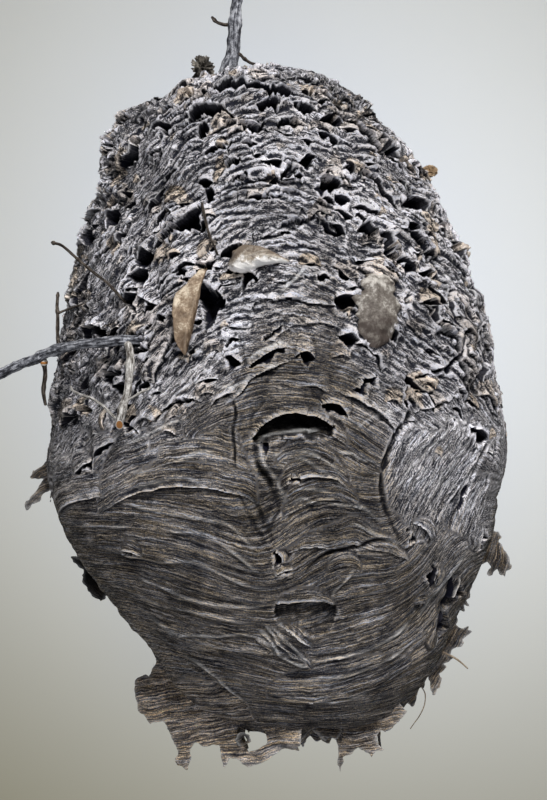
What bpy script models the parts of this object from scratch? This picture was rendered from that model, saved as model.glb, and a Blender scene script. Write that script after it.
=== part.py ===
"""A large paper nest built by hornets, with the stems and leaves that its paper grew round.

The nest lies on its back. Its crown and stem point to +Y, its torn lower end to -Y, and the side
that is seen faces +Z. The flattened back rests on Z = 0, and the origin is on that flat, under the
middle of the body. Every size below is in millimetres unless its name says otherwise.
"""

import math
import random
from typing import NamedTuple

import bmesh
import bpy
import numpy as np
from mathutils import Vector

MM = 0.001

# The body: two edges seen from the front, at the same levels from the crown to the torn rim
LEFT_EDGE = (
    (-9, 249), (-62, 241), (-108, 222), (-130, 190), (-137, 152), (-151, 103), (-164, 50),
    (-171, -5), (-170, -58), (-153, -112), (-124, -162), (-90, -199), (-62, -228), (-44, -250),
)
RIGHT_EDGE = (
    (-9, 249), (36, 245), (72, 226), (98, 192), (118, 152), (137, 106), (156, 54),
    (170, 0), (174, -52), (165, -100), (148, -145), (128, -196), (106, -230), (84, -252),
)
LEVELS = len(LEFT_EDGE) - 1
AXIS_HEIGHT = 143.0
DEPTH_RATIO = 0.90
RINGS = 150
SEGMENTS = 168
BODY_TRIANGLES = 5200
INSET = 4.0

# The torn mouth at the lower end: (share of the rim's radius, rise of that ring into the nest)
MOUTH_RINGS = ((0.90, 0.0), (0.84, 10.0), (0.80, 24.0), (0.72, 38.0), (0.40, 42.0))
MOUTH_DEPTH = 42.0
RIM_RISE_AT_FRONT = 11.0
RIM_TEAR = 5.0

# The lobes of paper: rows from the crown down, each (level, half width, height, rise, pocket depth)
LOBE_ROWS = (
    (1.0, 20, 24, 6.0, 5.0), (1.7, 20, 25, 7.0, 6.0), (2.5, 21, 26, 7.0, 6.0),
    (3.3, 22, 27, 7.0, 6.0), (4.0, 23, 28, 7.0, 6.0), (4.7, 25, 29, 7.0, 5.0),
    (5.4, 27, 31, 8.0, 5.0), (6.1, 30, 34, 8.5, 4.5), (6.8, 33, 36, 8.5, 4.0),
    (7.6, 37, 40, 7.5, 2.0), (8.4, 44, 42, 6.0, 0.0), (9.3, 56, 44, 5.0, 0.0),
    (10.3, 60, 46, 4.0, 0.0), (11.3, 56, 44, 4.0, 0.0), (12.2, 44, 36, 4.0, 0.0),
)
LOBE_SEED = 7
LOBE_SPACING = 1.55
GIRTH_POINTS = 60
LOBE_JITTER = 0.25
LOBE_MAX_ROLL = 0.35
LOBE_EDGE = 0.45
LOBE_EDGE_ARCH = -0.35
LOBE_EDGE_THICKNESS = 0.12
LOBE_SHOULDER = 0.55

# The pocket under a lobe's edge, as shares of the lobe's own half width and height
POCKET_RADIUS = 0.62
POCKET_DROP = 0.42
POCKET_SQUASH = 0.7
POCKET_WALL = 0.25

# Broad swelling of the body, and waves of the torn rim: (wavelength, size) and (count, phase, size)
SWELLS = ((190, 2.6), (130, 2.2), (85, 1.8), (55, 1.4))
WAVES_A_SWELL = 3
SWELL_SHARE = 0.6
RIM_WAVES = ((3, 0.4, 0.5), (5, 1.9, 0.4), (8, 4.1, 0.35), (13, 2.2, 0.3), (19, 5.3, 0.2))

# Where the relief fades, in levels: over the crown, and over the last stretch to the torn rim
CALM_CROWN = 0.8
CALM_RIM = 0.6
RIM_REACH = 1.2

# Folds and hollows on the front, as (path seen from the front, half width, depth)
CREASES = (
    (((-28, -2), (-27, -22), (-27, -44)), 7, 7.0),
    (((-34, 24), (-20, 32), (3, 46)), 8, 6.0),
    (((98, -4), (86, -17), (79, -33), (78, -56), (79, -76), (93, -104)), 8, 7.0),
    (((7, -118), (4, -126), (-2, -134)), 11, 10.0),
    (((12, -134), (34, -150), (52, -168)), 15, 8.0),
    (((-9, -18), (-4, -10), (12, -7), (27, -8), (36, -14)), 8, 10.0),
    (((-62, 210), (-50, 196), (-42, 176), (-52, 158)), 15, 13.0),
    (((-122, 48), (-128, 36)), 11, 9.0),
    (((-48, 70), (-42, 50)), 10, 9.0),
)
RIDGES = (
    (((-10, -42), (-1, -58), (9, -72)), 7, 5.0),
    (((-92, -166), (-50, -158), (0, -176), (40, -186)), 9, 4.0),
    (((-140, -92), (-90, -104), (-40, -122), (0, -136)), 8, 3.0),
)

# Torn sheets: outline seen from the front, holes, height at X = 0, slope of the height along X
SHEET_THICKNESS = 3.2
TORN_SHEETS = (
    (((-52, -184), (-83, -189), (-90, -199), (-93, -208), (-104, -210), (-106, -218), (-101, -238),
      (-93, -244), (-83, -239), (-70, -258), (-72, -269), (-63, -271), (-57, -249), (-39, -249),
      (-18, -257), (-8, -252), (7, -238), (14, -226), (-10, -212)),
     (((-27, -234), (-19, -229), (-10, -230), (-7, -238), (-17, -245), (-27, -241)),), 199.0, 0.47),
    (((150, -94), (163, -98), (171, -103), (171, -110), (178, -126), (174, -133), (167, -127),
      (162, -131), (158, -122), (144, -122)), (), 144.0, 0.0),
    (((-156, -44), (-172, -47), (-184, -58), (-182, -60), (-174, -57), (-174, -61), (-185, -78),
      (-183, -82), (-172, -73), (-156, -66)), (), 144.0, 0.0),
    (((12, -222), (7, -241), (21, -237), (24, -245), (38, -243), (43, -254), (46, -266), (50, -254),
      (79, -251), (80, -243), (88, -229), (70, -214)), (), 194.0, -0.1),
    (((112, -190), (124, -212), (133, -198), (133, -186), (146, -176), (141, -164), (130, -160)),
     (), 146.0, 0.0),
    (((-130, -118), (-145, -122), (-143, -143), (-128, -152), (-112, -150)), (), 146.0, 0.0),
)

GAP = 0.35
WELL_PAST = 400.0


class Twig(NamedTuple):
    """A round shoot: its route, its radius at both ends, and the shoot it grows from, if any."""

    route: tuple
    radii: tuple
    parent: str | None = None


TWIGS = {
    "top_stem": Twig(
        ((-43, 226, 137), (-39, 238, 138), (-35, 248, 139), (-31, 258, 139.5), (-30, 268, 140),
         (-29, 284, 140), (-28, 295, 140.5), (-27, 305, 141)), (6.6, 3.8)),
    "top_stem_spur": Twig(
        ((-29, 283, 140), (-35, 282, 140.5), (-39, 282.5, 141), (-43, 284, 142), (-46, 287, 143)),
        (1.5, 1.0), "top_stem"),
    "top_stem_twig": Twig(
        ((-31, 258, 140), (-26, 260, 141), (-22, 256, 143), (-17, 252.5, 144), (-11, 250.5, 145),
         (-5, 247, 146), (1, 241, 146), (5, 234, 146)), (1.3, 0.9), "top_stem"),
    "side_branch": Twig(
        ((-203, 14, 198), (-190, 20, 203), (-178, 25, 208), (-168, 28, 214), (-159, 32, 219),
         (-148, 35, 228), (-136, 37, 240), (-124, 38, 250), (-107, 39, 264), (-97, 39.5, 269),
         (-88, 40, 263), (-80, 40, 250)), (3.6, 3.3)),
    "fork_stub": Twig(
        ((-97, 39, 269), (-95, 34, 272), (-94, 28, 275), (-94, 20, 278), (-95, 6, 281),
         (-98, -5, 283), (-100, -16, 284)), (2.7, 2.5), "side_branch"),
    "stub_twig": Twig(
        ((-99.5, -13, 284), (-104, -11, 280), (-111, -5, 271), (-121, 1, 260), (-128, 3, 252),
         (-136, 6, 242), (-140, 9, 226)), (1.0, 0.8), "fork_stub"),
    "stub_spur": Twig(
        ((-96.5, -1, 282), (-91, 2, 284), (-86, 5, 283), (-82, 7, 279), (-79, 10, 264)),
        (0.9, 0.8), "fork_stub"),
    "upright_twig": Twig(
        ((-147, 35, 228), (-149, 42, 226), (-150, 57, 220), (-151, 66, 216), (-151, 75, 212)),
        (1.5, 0.9), "side_branch"),
    "upright_twig_spur": Twig(
        ((-150.4, 60, 219), (-146, 62, 219), (-141, 64, 218), (-136, 66, 214), (-130, 68, 203)),
        (0.9, 0.7), "upright_twig"),
    "hanging_twig": Twig(
        ((-160, 31.5, 218), (-160, 25, 216), (-159.5, 18, 215), (-161, 6, 213), (-160, -3, 211)),
        (1.8, 1.0), "side_branch"),
    "curved_twig": Twig(
        ((-156, 111, 206), (-148, 108, 212), (-136, 98, 228), (-124, 88, 243), (-112, 79, 254),
         (-106, 73, 257), (-101, 67, 252), (-97, 62, 238)), (1.0, 0.9)),
    "thin_twig": Twig(
        ((-49, 137, 248), (-47, 128, 263), (-44, 115, 271), (-42, 108, 274), (-39, 101, 276),
         (-37, 96, 273), (-36, 92, 264)), (0.9, 0.7)),
}
TWIG_SPACING = 6.0
STOUT_RADIUS = 2.0


class Leaf(NamedTuple):
    """A dry leaf: stalk and blade points along its midrib, half width, curl across, blunt tip."""

    midrib: tuple
    half_width: float
    curl: float
    fullness: float
    side: tuple


LEAVES = {
    "pointed_leaf": Leaf(
        ((-46, 90, 259), (-46, 83, 278), (-50, 70, 285), (-54, 54, 288), (-57, 40, 289),
         (-57, 29, 290)), 11.0, 0.45, 0.62, (1.0, -0.25, 0.3)),
    "pale_leaf": Leaf(
        ((-31, 88, 268), (-26, 90, 281), (-14, 94, 286), (0, 93, 287), (10, 90, 284)),
        10.0, -0.35, 0.55, (0.1, 1.0, 0.25)),
    "round_leaf": Leaf(
        ((72, 88, 252), (71, 82, 268), (71, 68, 274), (70, 54, 278), (68, 42, 279), (66, 34, 279)),
        15.5, 0.25, 0.80, (1.0, 0.1, -0.45)),
}
LEAF_THICKNESS = 1.2
LEAF_ROUNDNESS = 0.6
STALK_HALF_WIDTH = 1.4
LEAF_GRID = (11, 5)

# Small crumpled lumps: (centre, half sizes, direction into the nest)
LUMPS = {
    "top_bud_tuft": ((-53, 245, 152), (6.5, 9.0, 6.0), (0.5, -9.0, -3.0)),
    "edge_scrap": ((117, 171, 147), (5.0, 4.0, 3.0), (-7.0, -3.0, 0.0)),
}

COLOURS = {
    "nest_paper": ((0.16, 0.15, 0.14), 0.92),
    "grey_bark": ((0.15, 0.15, 0.17), 0.8),
    "dry_leaf": ((0.28, 0.2, 0.13), 0.75),
}


# ---------------------------------------------------------------- helpers

def catmull_rom(points, where):
    """Read a smooth curve through the points at the places where, counted in points."""
    points = np.asarray(points, float)
    ends = (2 * points[:1] - points[1:2], points, 2 * points[-1:] - points[-2:-1])
    padded = np.concatenate(ends)
    place = np.clip(np.asarray(where, float), 0, len(points) - 1 - 1e-9)
    i = np.floor(place).astype(int)
    f = (place - i)[..., None]
    a, b, c, d = (padded[i + k] for k in range(4))
    return 0.5 * (2 * b + (c - a) * f + (2 * a - 5 * b + 4 * c - d) * f**2
                  + (3 * b - a - 3 * c + d) * f**3)


def unit(vectors):
    return vectors / np.maximum(np.linalg.norm(vectors, axis=-1, keepdims=True), 1e-9)


def smoothstep(x):
    x = np.clip(x, 0, 1)
    return x * x * (3 - 2 * x)


def new_object(name, points, faces):
    """Make a mesh object from points in millimetres."""
    mesh = bpy.data.meshes.new(name)
    mesh.from_pydata([tuple(p) for p in np.asarray(points, float) * MM], [], faces)
    mesh.update()
    obj = bpy.data.objects.new(name, mesh)
    bpy.context.scene.collection.objects.link(obj)
    return obj


def bake(obj):
    """Apply an object's modifiers, keep its largest body, and make its faces point out."""
    graph = bpy.context.evaluated_depsgraph_get()
    graph.update()
    mesh = bpy.data.meshes.new_from_object(obj.evaluated_get(graph))
    obj.modifiers.clear()
    obj.data = mesh
    bm = bmesh.new()
    bm.from_mesh(mesh)
    bmesh.ops.remove_doubles(bm, verts=bm.verts, dist=1e-6)
    keep_largest_body(bm)
    bmesh.ops.triangulate(bm, faces=bm.faces)
    bmesh.ops.recalc_face_normals(bm, faces=bm.faces)
    bm.to_mesh(mesh)
    bm.free()
    mesh.shade_flat()


def keep_largest_body(bm):
    bodies = []
    unseen = set(bm.verts)
    while unseen:
        front = [unseen.pop()]
        body = set(front)
        while front:
            vert = front.pop()
            for edge in vert.link_edges:
                other = edge.other_vert(vert)
                if other in unseen:
                    unseen.discard(other)
                    body.add(other)
                    front.append(other)
        bodies.append(body)
    largest = max(bodies, key=len)
    spare = [vert for body in bodies if body is not largest for vert in body]
    bmesh.ops.delete(bm, geom=spare, context="VERTS")


def boolean(obj, other, operation):
    """Join another solid to this one, or cut it away, and drop the other."""
    modifier = obj.modifiers.new(operation.title(), "BOOLEAN")
    modifier.operation = operation
    modifier.object = other
    bake(obj)
    bpy.data.objects.remove(other)


# ---------------------------------------------------------------- the nest's body

class Skin:
    """The smooth body under the paper's relief: points, outward normals and directions."""

    def __init__(self, level, angle):
        level, angle = np.broadcast_arrays(np.asarray(level, float), np.asarray(angle, float))
        step = 0.02  # short enough for a slope, long enough for 32-bit numbers
        self.points = self.at(level, angle)
        along = self.at(np.minimum(level + step, LEVELS), angle)
        along = along - self.at(np.maximum(level - step, 0), angle)
        around = self.at(level, angle + step) - self.at(level, angle - step)
        self.side = unit(around)
        self.out = unit(np.cross(around, along))
        self.up = unit(np.cross(self.side, self.out))

    @staticmethod
    def at(level, angle):
        left = catmull_rom(LEFT_EDGE, level)
        right = catmull_rom(RIGHT_EDGE, level)
        centre = (left + right) / 2
        arm = (right - left) / 2
        flat = centre + arm * np.cos(angle)[..., None]
        height = AXIS_HEIGHT + DEPTH_RATIO * np.linalg.norm(arm, axis=-1) * np.sin(angle)
        return np.concatenate([flat, height[..., None]], axis=-1)


def swell(points):
    """Broad uneven swelling of the body."""
    rng = random.Random(LOBE_SEED)
    total = np.zeros(len(points))
    for wavelength, size in SWELLS:
        for _ in range(WAVES_A_SWELL):
            way = unit(np.array([rng.gauss(0, 1) for _ in range(3)]))
            phase = rng.uniform(0, math.tau)
            total += size * SWELL_SHARE * np.sin(points @ way * math.tau / wavelength + phase)
    return total


def lobes():
    """Place the paper lobes in rows, each row shifted against the one above, from the crown down."""
    rng = random.Random(LOBE_SEED)
    for row, (level, half_width, height, rise, pocket) in enumerate(LOBE_ROWS):
        ring = Skin.at(np.full(GIRTH_POINTS, float(level)), np.linspace(0, math.tau, GIRTH_POINTS))
        girth = np.linalg.norm(np.diff(ring, axis=0), axis=1).sum()
        count = max(4, round(girth / (LOBE_SPACING * half_width)))
        for i in range(count):
            shift = 0.5 * (row % 2) + rng.uniform(-LOBE_JITTER, LOBE_JITTER)
            angle = (i + shift) * math.tau / count
            size = rng.uniform(0.8, 1.25)
            yield (level + rng.uniform(-0.2, 0.2), angle, half_width * size,
                   height * size, rise * rng.uniform(0.6, 1.3), pocket * rng.uniform(0.5, 1.3),
                   rng.uniform(-LOBE_MAX_ROLL, LOBE_MAX_ROLL))


def paper_relief(skin):
    """How far the paper stands out from the smooth body, at every point of the skin."""
    points = skin.points
    relief = np.zeros(len(points))
    pockets = np.zeros(len(points))
    for level, angle, half_width, height, rise, pocket, roll in lobes():
        centre = Skin(np.array([level]), np.array([angle]))
        offset = points - centre.points[0]
        same_side = skin.out @ centre.out[0] > 0.4
        near = same_side & (np.linalg.norm(offset, axis=1) < 2 * half_width)
        offset = offset[near]
        side = centre.side[0] * math.cos(roll) + centre.up[0] * math.sin(roll)
        up = centre.up[0] * math.cos(roll) - centre.side[0] * math.sin(roll)
        across = offset @ side / half_width
        above = offset @ up / height
        dome = 1 - np.hypot(across, np.maximum(above, 0))
        edge = LOBE_EDGE + LOBE_EDGE_ARCH * across**2
        hanging = smoothstep((above + edge) / LOBE_EDGE_THICKNESS)
        shape = smoothstep(dome / LOBE_SHOULDER) * hanging
        relief[near] = np.maximum(relief[near], rise * shape)
        below = (above + edge + POCKET_DROP) / POCKET_SQUASH
        under = smoothstep((POCKET_RADIUS - np.hypot(across, below)) / POCKET_WALL)
        pockets[near] = np.maximum(pockets[near], pocket * under)
    return relief - pockets


def distance_to_path(points, path):
    nearest = np.full(len(points), 1e9)
    for a, b in zip(path[:-1], path[1:]):
        a, b = np.asarray(a, float), np.asarray(b, float)
        share = np.clip((points - a) @ (b - a) / ((b - a) @ (b - a)), 0, 1)
        nearest = np.minimum(nearest, np.linalg.norm(points - a - share[:, None] * (b - a), axis=1))
    return nearest


def front_forms(points):
    """The creases, hollows and ridges that stand out on the front."""
    total = np.zeros(len(points))
    seen = points[:, 2] > AXIS_HEIGHT
    for forms, sign in ((CREASES, -1), (RIDGES, 1)):
        for path, half_width, size in forms:
            distance = distance_to_path(points[:, :2], path)
            total += np.where(seen, sign * size * smoothstep(1 - distance / half_width), 0)
    return total


def rim_tear(angle):
    """How far the torn rim reaches down at each place round the mouth."""
    return RIM_TEAR * sum(size * np.sin(n * angle + phase) for n, phase, size in RIM_WAVES)


def nest_body():
    """The closed body: lobed outside, torn rim, and the shallow hollow inside the torn mouth."""
    levels = np.linspace(0, LEVELS, RINGS + 1)[1:]
    angles = np.arange(SEGMENTS) * math.tau / SEGMENTS
    level, angle = (grid.ravel() for grid in np.meshgrid(levels, angles, indexing="ij"))
    skin = Skin(level, angle)
    near_rim = smoothstep((level - LEVELS + CALM_RIM) / CALM_RIM)
    calm = smoothstep(level / CALM_CROWN) * (1 - 0.6 * near_rim)
    lift = (paper_relief(skin) + swell(skin.points) + front_forms(skin.points)) * calm - INSET
    points = skin.points + skin.out * lift[:, None]
    lower = smoothstep((level - LEVELS + RIM_REACH) / RIM_REACH)
    points[:, 1] += lower * (RIM_RISE_AT_FRONT * np.sin(angle) + rim_tear(angle))
    rings = [points.reshape(RINGS, SEGMENTS, 3)]
    rim = rings[0][-1]
    centre = rim.mean(axis=0)
    for share, rise in MOUTH_RINGS:
        ring = centre + (rim - centre) * share
        flatten = min(1.0, rise / MOUTH_DEPTH * 1.5)
        ring[:, 1] = rim[:, 1] * (1 - flatten) + centre[1] * flatten + rise
        rings.append(ring[None])
    grid = np.concatenate(rings)
    crown = Skin.at(np.array([0.0]), np.array([0.0]))[0] - (0, INSET, 0)
    floor = centre + (0, MOUTH_DEPTH, 0)
    vertices = np.concatenate([grid.reshape(-1, 3), [crown, floor]])
    last_ring = len(grid) - 1
    faces = []
    for j in range(SEGMENTS):
        k = (j + 1) % SEGMENTS
        faces.append((len(vertices) - 2, j, k))
        faces.append((len(vertices) - 1, last_ring * SEGMENTS + k, last_ring * SEGMENTS + j))
        for i in range(last_ring):
            a, b = i * SEGMENTS, (i + 1) * SEGMENTS
            faces.append((a + j, b + j, b + k, a + k))
    return new_object("nest_envelope", vertices, faces)


def torn_sheet(outline, holes, height, slope):
    """A thin torn sheet, tilted along X, as a closed slab."""
    bm = bmesh.new()
    edges = []
    for loop in (outline, *holes):
        verts = [bm.verts.new((x * MM, y * MM, (height + slope * x) * MM)) for x, y in loop]
        edges += [bm.edges.new((a, b)) for a, b in zip(verts, verts[1:] + verts[:1])]
    filled = bmesh.ops.triangle_fill(bm, use_beauty=True, edges=edges)
    faces = [item for item in filled["geom"] if isinstance(item, bmesh.types.BMFace)]
    grown = bmesh.ops.extrude_face_region(bm, geom=faces, use_keep_orig=True)
    tops = [item for item in grown["geom"] if isinstance(item, bmesh.types.BMVert)]
    bmesh.ops.translate(bm, verts=tops, vec=Vector((0, 0, SHEET_THICKNESS * MM)))
    bmesh.ops.recalc_face_normals(bm, faces=bm.faces)
    mesh = bpy.data.meshes.new("torn_sheet")
    bm.to_mesh(mesh)
    bm.free()
    obj = bpy.data.objects.new("torn_sheet", mesh)
    bpy.context.scene.collection.objects.link(obj)
    return obj


def box(name, low, high):
    """A box between two corners in millimetres."""
    bm = bmesh.new()
    bmesh.ops.create_cube(bm, size=1)
    size = Vector(high) - Vector(low)
    bmesh.ops.scale(bm, vec=size * MM, verts=bm.verts)
    bmesh.ops.translate(bm, vec=(Vector(high) + Vector(low)) / 2 * MM, verts=bm.verts)
    mesh = bpy.data.meshes.new(name)
    bm.to_mesh(mesh)
    bm.free()
    obj = bpy.data.objects.new(name, mesh)
    bpy.context.scene.collection.objects.link(obj)
    return obj


def nest_envelope():
    nest = nest_body()
    thinning = nest.modifiers.new("Decimate", "DECIMATE")
    thinning.ratio = BODY_TRIANGLES / (2 * RINGS * SEGMENTS)
    bake(nest)
    for sheet in TORN_SHEETS:
        boolean(nest, torn_sheet(*sheet), "UNION")
    below = box("below_rest_face", (-WELL_PAST, -WELL_PAST, -100), (WELL_PAST, WELL_PAST, 0))
    boolean(nest, below, "DIFFERENCE")
    return nest


# ---------------------------------------------------------------- twigs, leaves and scraps

def tube(name, twig, grow=0.0):
    """A tapering round shoot along a smooth curve, made fatter and longer by grow."""
    route = np.asarray(twig.route, float)
    route[0] += unit(route[0] - route[1]) * grow
    route[-1] += unit(route[-1] - route[-2]) * grow
    length = np.linalg.norm(np.diff(route, axis=0), axis=1).sum()
    count = max(4, round(length / TWIG_SPACING))
    shares = np.linspace(0, 1, count + 1)
    points = catmull_rom(route, shares * (len(route) - 1))
    curve = bpy.data.curves.new(name, "CURVE")
    curve.dimensions = "3D"
    curve.bevel_depth = MM
    curve.bevel_resolution = 2 if max(twig.radii) > STOUT_RADIUS else 1
    curve.use_fill_caps = True
    spline = curve.splines.new("POLY")
    spline.points.add(len(points) - 1)
    for point, place, share in zip(spline.points, points, shares):
        point.co = (*(place * MM), 1)
        point.radius = twig.radii[0] + (twig.radii[1] - twig.radii[0]) * share + grow
    obj = bpy.data.objects.new(name, curve)
    bpy.context.scene.collection.objects.link(obj)
    graph = bpy.context.evaluated_depsgraph_get()
    mesh = bpy.data.meshes.new_from_object(obj.evaluated_get(graph))
    bpy.data.objects.remove(obj)
    solid = bpy.data.objects.new(name, mesh)
    bpy.context.scene.collection.objects.link(solid)
    bake(solid)
    return solid


def leaf_blade(name, leaf, grow=0.0):
    """A dry leaf: a narrow stalk that opens into a curled blade, with a real thickness."""
    rows, columns = LEAF_GRID
    midrib = np.asarray(leaf.midrib, float)
    midrib[0] += unit(midrib[0] - midrib[1]) * grow
    midrib[-1] += unit(midrib[-1] - midrib[-2]) * grow
    share = np.linspace(0, 1, rows)
    spine = catmull_rom(midrib, share * (len(midrib) - 1))
    stalk_end = 1 / (len(midrib) - 1)
    blade = np.clip((share - stalk_end) / (1 - stalk_end), 0, 1)
    profile = np.sin(np.pi * blade**leaf.fullness) ** LEAF_ROUNDNESS
    half_width = np.maximum(STALK_HALF_WIDTH, leaf.half_width * profile) + grow
    along = unit(np.gradient(spine, axis=0))
    side = np.asarray(leaf.side, float) - along * (along @ np.asarray(leaf.side, float))[:, None]
    side = unit(side)
    out = unit(np.cross(side, along))
    out *= np.sign(out[:, 2:3])
    across = np.linspace(-1, 1, columns)
    points = (spine[:, None]
              + side[:, None] * (half_width[:, None] * across)[..., None]
              + out[:, None] * (leaf.curl * half_width[:, None] * across**2)[..., None])
    half = LEAF_THICKNESS / 2 + grow
    both = np.concatenate([points + out[:, None] * half, points - out[:, None] * half])
    lower = rows * columns
    faces = []
    for i in range(rows - 1):
        for j in range(columns - 1):
            a = i * columns + j
            faces.append((a, a + 1, a + columns + 1, a + columns))
            faces.append(tuple(lower + v for v in (a + columns, a + columns + 1, a + 1, a)))
    rim = [j for j in range(columns)]
    rim += [i * columns + columns - 1 for i in range(1, rows)]
    rim += [(rows - 1) * columns + j for j in range(columns - 2, -1, -1)]
    rim += [i * columns for i in range(rows - 2, 0, -1)]
    for a, b in zip(rim, rim[1:] + rim[:1]):
        faces.append((b, a, lower + a, lower + b))
    obj = new_object(name, both.reshape(-1, 3), faces)
    bake(obj)
    return obj


def crumpled_lump(name, centre, half_sizes, root, grow=0.0):
    """A small crumpled scrap with a root that reaches into the nest."""
    bm = bmesh.new()
    bmesh.ops.create_icosphere(bm, subdivisions=2, radius=1)
    centre, half_sizes, root = (np.asarray(v, float) for v in (centre, half_sizes, root))
    for vert in bm.verts:
        way = np.array(vert.co)
        crumple = 1 + 0.16 * math.sin(5 * way[0] + 2) * math.sin(6 * way[1])
        crumple += 0.1 * math.sin(9 * way[2])
        toward = max(0.0, float(way @ unit(root)))
        place = centre + way * (half_sizes * crumple + grow) + root * toward**3
        vert.co = Vector(place * MM)
    mesh = bpy.data.meshes.new(name)
    bm.to_mesh(mesh)
    bm.free()
    obj = bpy.data.objects.new(name, mesh)
    bpy.context.scene.collection.objects.link(obj)
    bake(obj)
    return obj


def fitted_pieces(nest):
    """Make each twig, leaf and scrap, and cut its bed out of what holds it, with a small gap."""
    pieces = {"grey_bark": [], "dry_leaf": []}
    for name, twig in TWIGS.items():
        piece = tube(name, twig)
        if twig.parent:
            boolean(piece, tube("cutter", TWIGS[twig.parent], GAP), "DIFFERENCE")
        boolean(nest, tube("cutter", twig, GAP), "DIFFERENCE")
        pieces["grey_bark"].append(piece)
    for name, leaf in LEAVES.items():
        pieces["dry_leaf"].append(leaf_blade(name, leaf))
        boolean(nest, leaf_blade("cutter", leaf, GAP), "DIFFERENCE")
    for name, lump in LUMPS.items():
        pieces["dry_leaf"].append(crumpled_lump(name, *lump))
        boolean(nest, crumpled_lump("cutter", *lump, GAP), "DIFFERENCE")
    return pieces


# ---------------------------------------------------------------- finish

def material(name):
    colour, roughness = COLOURS[name]
    finish = bpy.data.materials.new(name)
    finish.use_nodes = True
    shader = finish.node_tree.nodes["Principled BSDF"]
    shader.inputs["Base Color"].default_value = (*colour, 1)
    shader.inputs["Roughness"].default_value = roughness
    shader.inputs["Metallic"].default_value = 0
    return finish


def place_origin(obj, parent):
    """Put the object's own origin at its middle, and hang it under the parent."""
    corners = [Vector(corner) for corner in obj.bound_box]
    middle = sum(corners, Vector()) / len(corners)
    for vert in obj.data.vertices:
        vert.co -= middle
    obj.location = middle
    obj.parent = parent


def main():
    for obj in list(bpy.data.objects):
        bpy.data.objects.remove(obj)
    root = bpy.data.objects.new("hornet_nest", None)
    bpy.context.scene.collection.objects.link(root)
    nest = nest_envelope()
    pieces = fitted_pieces(nest)
    nest.data.materials.append(material("nest_paper"))
    nest.parent = root
    for finish_name, objects in pieces.items():
        finish = material(finish_name)
        for obj in objects:
            obj.data.materials.append(finish)
            place_origin(obj, root)


main()
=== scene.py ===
"""The looks of a large paper nest of hornets, with the shoots and dry leaves its paper grew round.

The nest lies on its back: crown and stem to +Y, torn lower end to -Y, the side that is seen to +Z.
Lengths are in millimetres unless a name or a docstring says otherwise, and MM turns them to metres.
"""

import logging
import math
import random
from dataclasses import dataclass
from enum import Enum

import bmesh
import bpy
import numpy as np
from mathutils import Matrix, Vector


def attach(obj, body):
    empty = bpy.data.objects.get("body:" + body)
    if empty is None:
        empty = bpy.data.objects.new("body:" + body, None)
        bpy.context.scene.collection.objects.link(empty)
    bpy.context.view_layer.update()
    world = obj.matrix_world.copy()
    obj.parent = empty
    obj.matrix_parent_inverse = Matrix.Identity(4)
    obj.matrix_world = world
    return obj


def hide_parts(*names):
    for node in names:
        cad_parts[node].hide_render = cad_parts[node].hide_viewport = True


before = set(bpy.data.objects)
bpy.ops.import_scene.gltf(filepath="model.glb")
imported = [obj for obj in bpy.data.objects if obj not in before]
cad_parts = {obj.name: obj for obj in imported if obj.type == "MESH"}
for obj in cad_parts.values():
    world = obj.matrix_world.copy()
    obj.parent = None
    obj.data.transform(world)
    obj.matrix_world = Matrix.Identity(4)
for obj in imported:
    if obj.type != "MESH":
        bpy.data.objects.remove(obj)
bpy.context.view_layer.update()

LOG = logging.getLogger("hornet_nest")
MM = 0.001
BODY = "root"

# The body's two edges seen from the front, at the same levels from the crown to the torn rim
LEFT_EDGE = (
    (-9, 249), (-62, 241), (-108, 222), (-130, 190), (-137, 152), (-151, 103), (-164, 50),
    (-171, -5), (-170, -58), (-153, -112), (-124, -162), (-90, -199), (-62, -228), (-44, -250),
)
RIGHT_EDGE = (
    (-9, 249), (36, 245), (72, 226), (98, 192), (118, 152), (137, 106), (156, 54),
    (170, 0), (174, -52), (165, -100), (148, -145), (128, -196), (106, -230), (84, -252),
)
LEVELS = len(LEFT_EDGE) - 1
AXIS_HEIGHT = 143.0
DEPTH_RATIO = 0.90
INSET = 4.0

# The torn mouth: (share of the rim's radius, rise of that ring into the nest)
MOUTH_RINGS = ((1.0, 0.0), (0.97, -1.5), (0.93, -0.5), (0.90, 3.0), (0.87, 7.0), (0.84, 12.0),
               (0.82, 18.0), (0.80, 25.0), (0.77, 31.0), (0.73, 36.0), (0.66, 39.0), (0.56, 41.0),
               (0.44, 42.0), (0.3, 42.0), (0.15, 42.0), (0.0, 42.0))
MOUTH_DEPTH = 42.0
RIM_RISE_AT_FRONT = 11.0
RIM_TEAR = 5.0
RIM_REACH = 1.2
RIM_WAVES = ((3, 0.4, 0.5), (5, 1.9, 0.4), (8, 4.1, 0.35), (13, 2.2, 0.3), (19, 5.3, 0.2))
NOTCH_ANGLE, NOTCH_WIDTH, NOTCH_RISE = 4.1, 0.42, 13.0

# The part of a broken ledge's step over which it sinks to the paper below its edge
LEDGE_FALL = 0.14

Points = np.ndarray


# ---------------------------------------------------------------- curves and noise

def catmull_rom(points: Points | tuple, where: Points) -> Points:
    """Read a smooth curve through points.

    Args:
        points: The points that the curve passes through.
        where: Places on the curve, counted in points from the first one.

    Returns:
        One point for each place.
    """
    points = np.asarray(points, float)
    padded = np.concatenate((2 * points[:1] - points[1:2], points, 2 * points[-1:] - points[-2:-1]))
    place = np.clip(np.asarray(where, float), 0, len(points) - 1 - 1e-9)
    i = np.floor(place).astype(int)
    f = (place - i)[..., None]
    a, b, c, d = (padded[i + k] for k in range(4))
    return 0.5 * (2 * b + (c - a) * f + (2 * a - 5 * b + 4 * c - d) * f**2
                  + (3 * b - a - 3 * c + d) * f**3)


def unit(vectors: Points) -> Points:
    """Scale vectors to length 1."""
    return vectors / np.maximum(np.linalg.norm(vectors, axis=-1, keepdims=True), 1e-9)


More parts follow.
